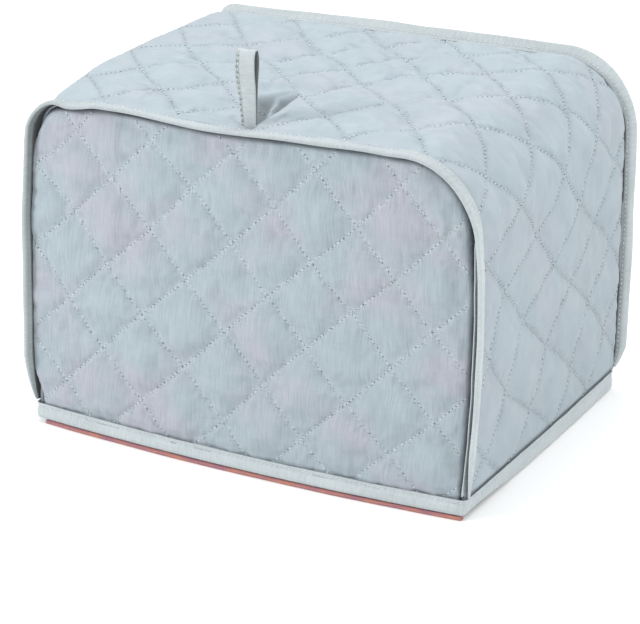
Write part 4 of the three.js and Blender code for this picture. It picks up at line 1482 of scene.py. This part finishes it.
class COVER_OT_stage(bpy.types.Operator):
    """Camera, pale floor and soft studio light"""

    bl_idname = "cover.stage"
    bl_label = "Stage"
    bl_options = {"REGISTER", "UNDO"}

    def execute(self, context):
        colours = context.scene.cover_colours
        back = Vector((
            math.sin(CAMERA_AZIMUTH) * math.cos(CAMERA_ELEVATION),
            -math.cos(CAMERA_AZIMUTH) * math.cos(CAMERA_ELEVATION),
            math.sin(CAMERA_ELEVATION),
        ))
        data = bpy.data.cameras.new("camera")
        data.sensor_width = SENSOR_WIDTH
        data.lens = SENSOR_WIDTH * FOCAL_PIXELS / FRAME_WIDTH
        camera = put("camera", data)
        camera.location = CAMERA_TARGET + back * CAMERA_DISTANCE
        camera.rotation_euler = (-back).to_track_quat("-Z", "Y").to_euler()
        scene = bpy.context.scene
        scene.camera = camera

        mesh = bpy.data.meshes.new("floor")
        turns = ((-1, -1), (1, -1), (1, 1), (-1, 1))
        mesh.from_pydata([(FLOOR_REACH * x, FLOOR_REACH * y, 0) for x, y in turns], [], [(0, 1, 2, 3)])
        floor = put("floor", mesh)
        tree = ShaderTree("floor")
        pale = colours.floor
        tone = tree.mix(tree.ramp(tree.speckle(3.0, 2.0), 0.3, 0.7), rgba(pale), rgba(pale, 0.99))
        mesh.materials.append(tree.finish(tone, 0.8, 0.0))

        world = bpy.data.worlds.new("studio")
        world.use_nodes = True
        sky = world.node_tree.nodes["Background"].inputs
        sky["Color"].default_value = (1.0, 1.0, 1.0, 1.0)
        sky["Strength"].default_value = WORLD_STRENGTH
        scene.world = world
        for light in LIGHTS:
            area_light(*light)
        scene.view_settings.view_transform = "Standard"
        scene.view_settings.look = "None"
        return {"FINISHED"}


OPERATORS = (
    COVER_OT_stage, COVER_OT_front_panel, COVER_OT_back_panel, COVER_OT_gusset, COVER_OT_seam_bindings,
    COVER_OT_hem, COVER_OT_facing, COVER_OT_loop, COVER_OT_stitching,
)


class COVER_PT_panel(bpy.types.Panel):
    """Sidebar list of the cover's pieces"""

    bl_idname = "COVER_PT_panel"
    bl_label = "Quilted Cover"
    bl_space_type = "VIEW_3D"
    bl_region_type = "UI"
    bl_category = "Cover"

    def draw(self, context):
        for kind in OPERATORS:
            self.layout.operator(kind.bl_idname)
        for group in (context.scene.cover_sizes, context.scene.cover_colours):
            box = self.layout.box()
            for name in group.bl_rna.properties.keys():
                if name not in ("rna_type", "name"):
                    box.prop(group, name)


CLASSES = (CoverSizes, CoverColours, *OPERATORS, COVER_PT_panel)


def register():
    for kind in CLASSES:
        bpy.utils.register_class(kind)
    bpy.types.Scene.cover_sizes = bpy.props.PointerProperty(type=CoverSizes)
    bpy.types.Scene.cover_colours = bpy.props.PointerProperty(type=CoverColours)


def unregister():
    del bpy.types.Scene.cover_colours
    del bpy.types.Scene.cover_sizes
    for kind in reversed(CLASSES):
        bpy.utils.unregister_class(kind)


def main():
    register()
    bpy.ops.cover.stage()
    bpy.ops.cover.front_panel()
    bpy.ops.cover.back_panel()
    bpy.ops.cover.gusset()
    bpy.ops.cover.seam_bindings()
    bpy.ops.cover.hem()
    bpy.ops.cover.facing()
    bpy.ops.cover.loop()
    bpy.ops.cover.stitching()
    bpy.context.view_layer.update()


if __name__ == "__main__":
    main()
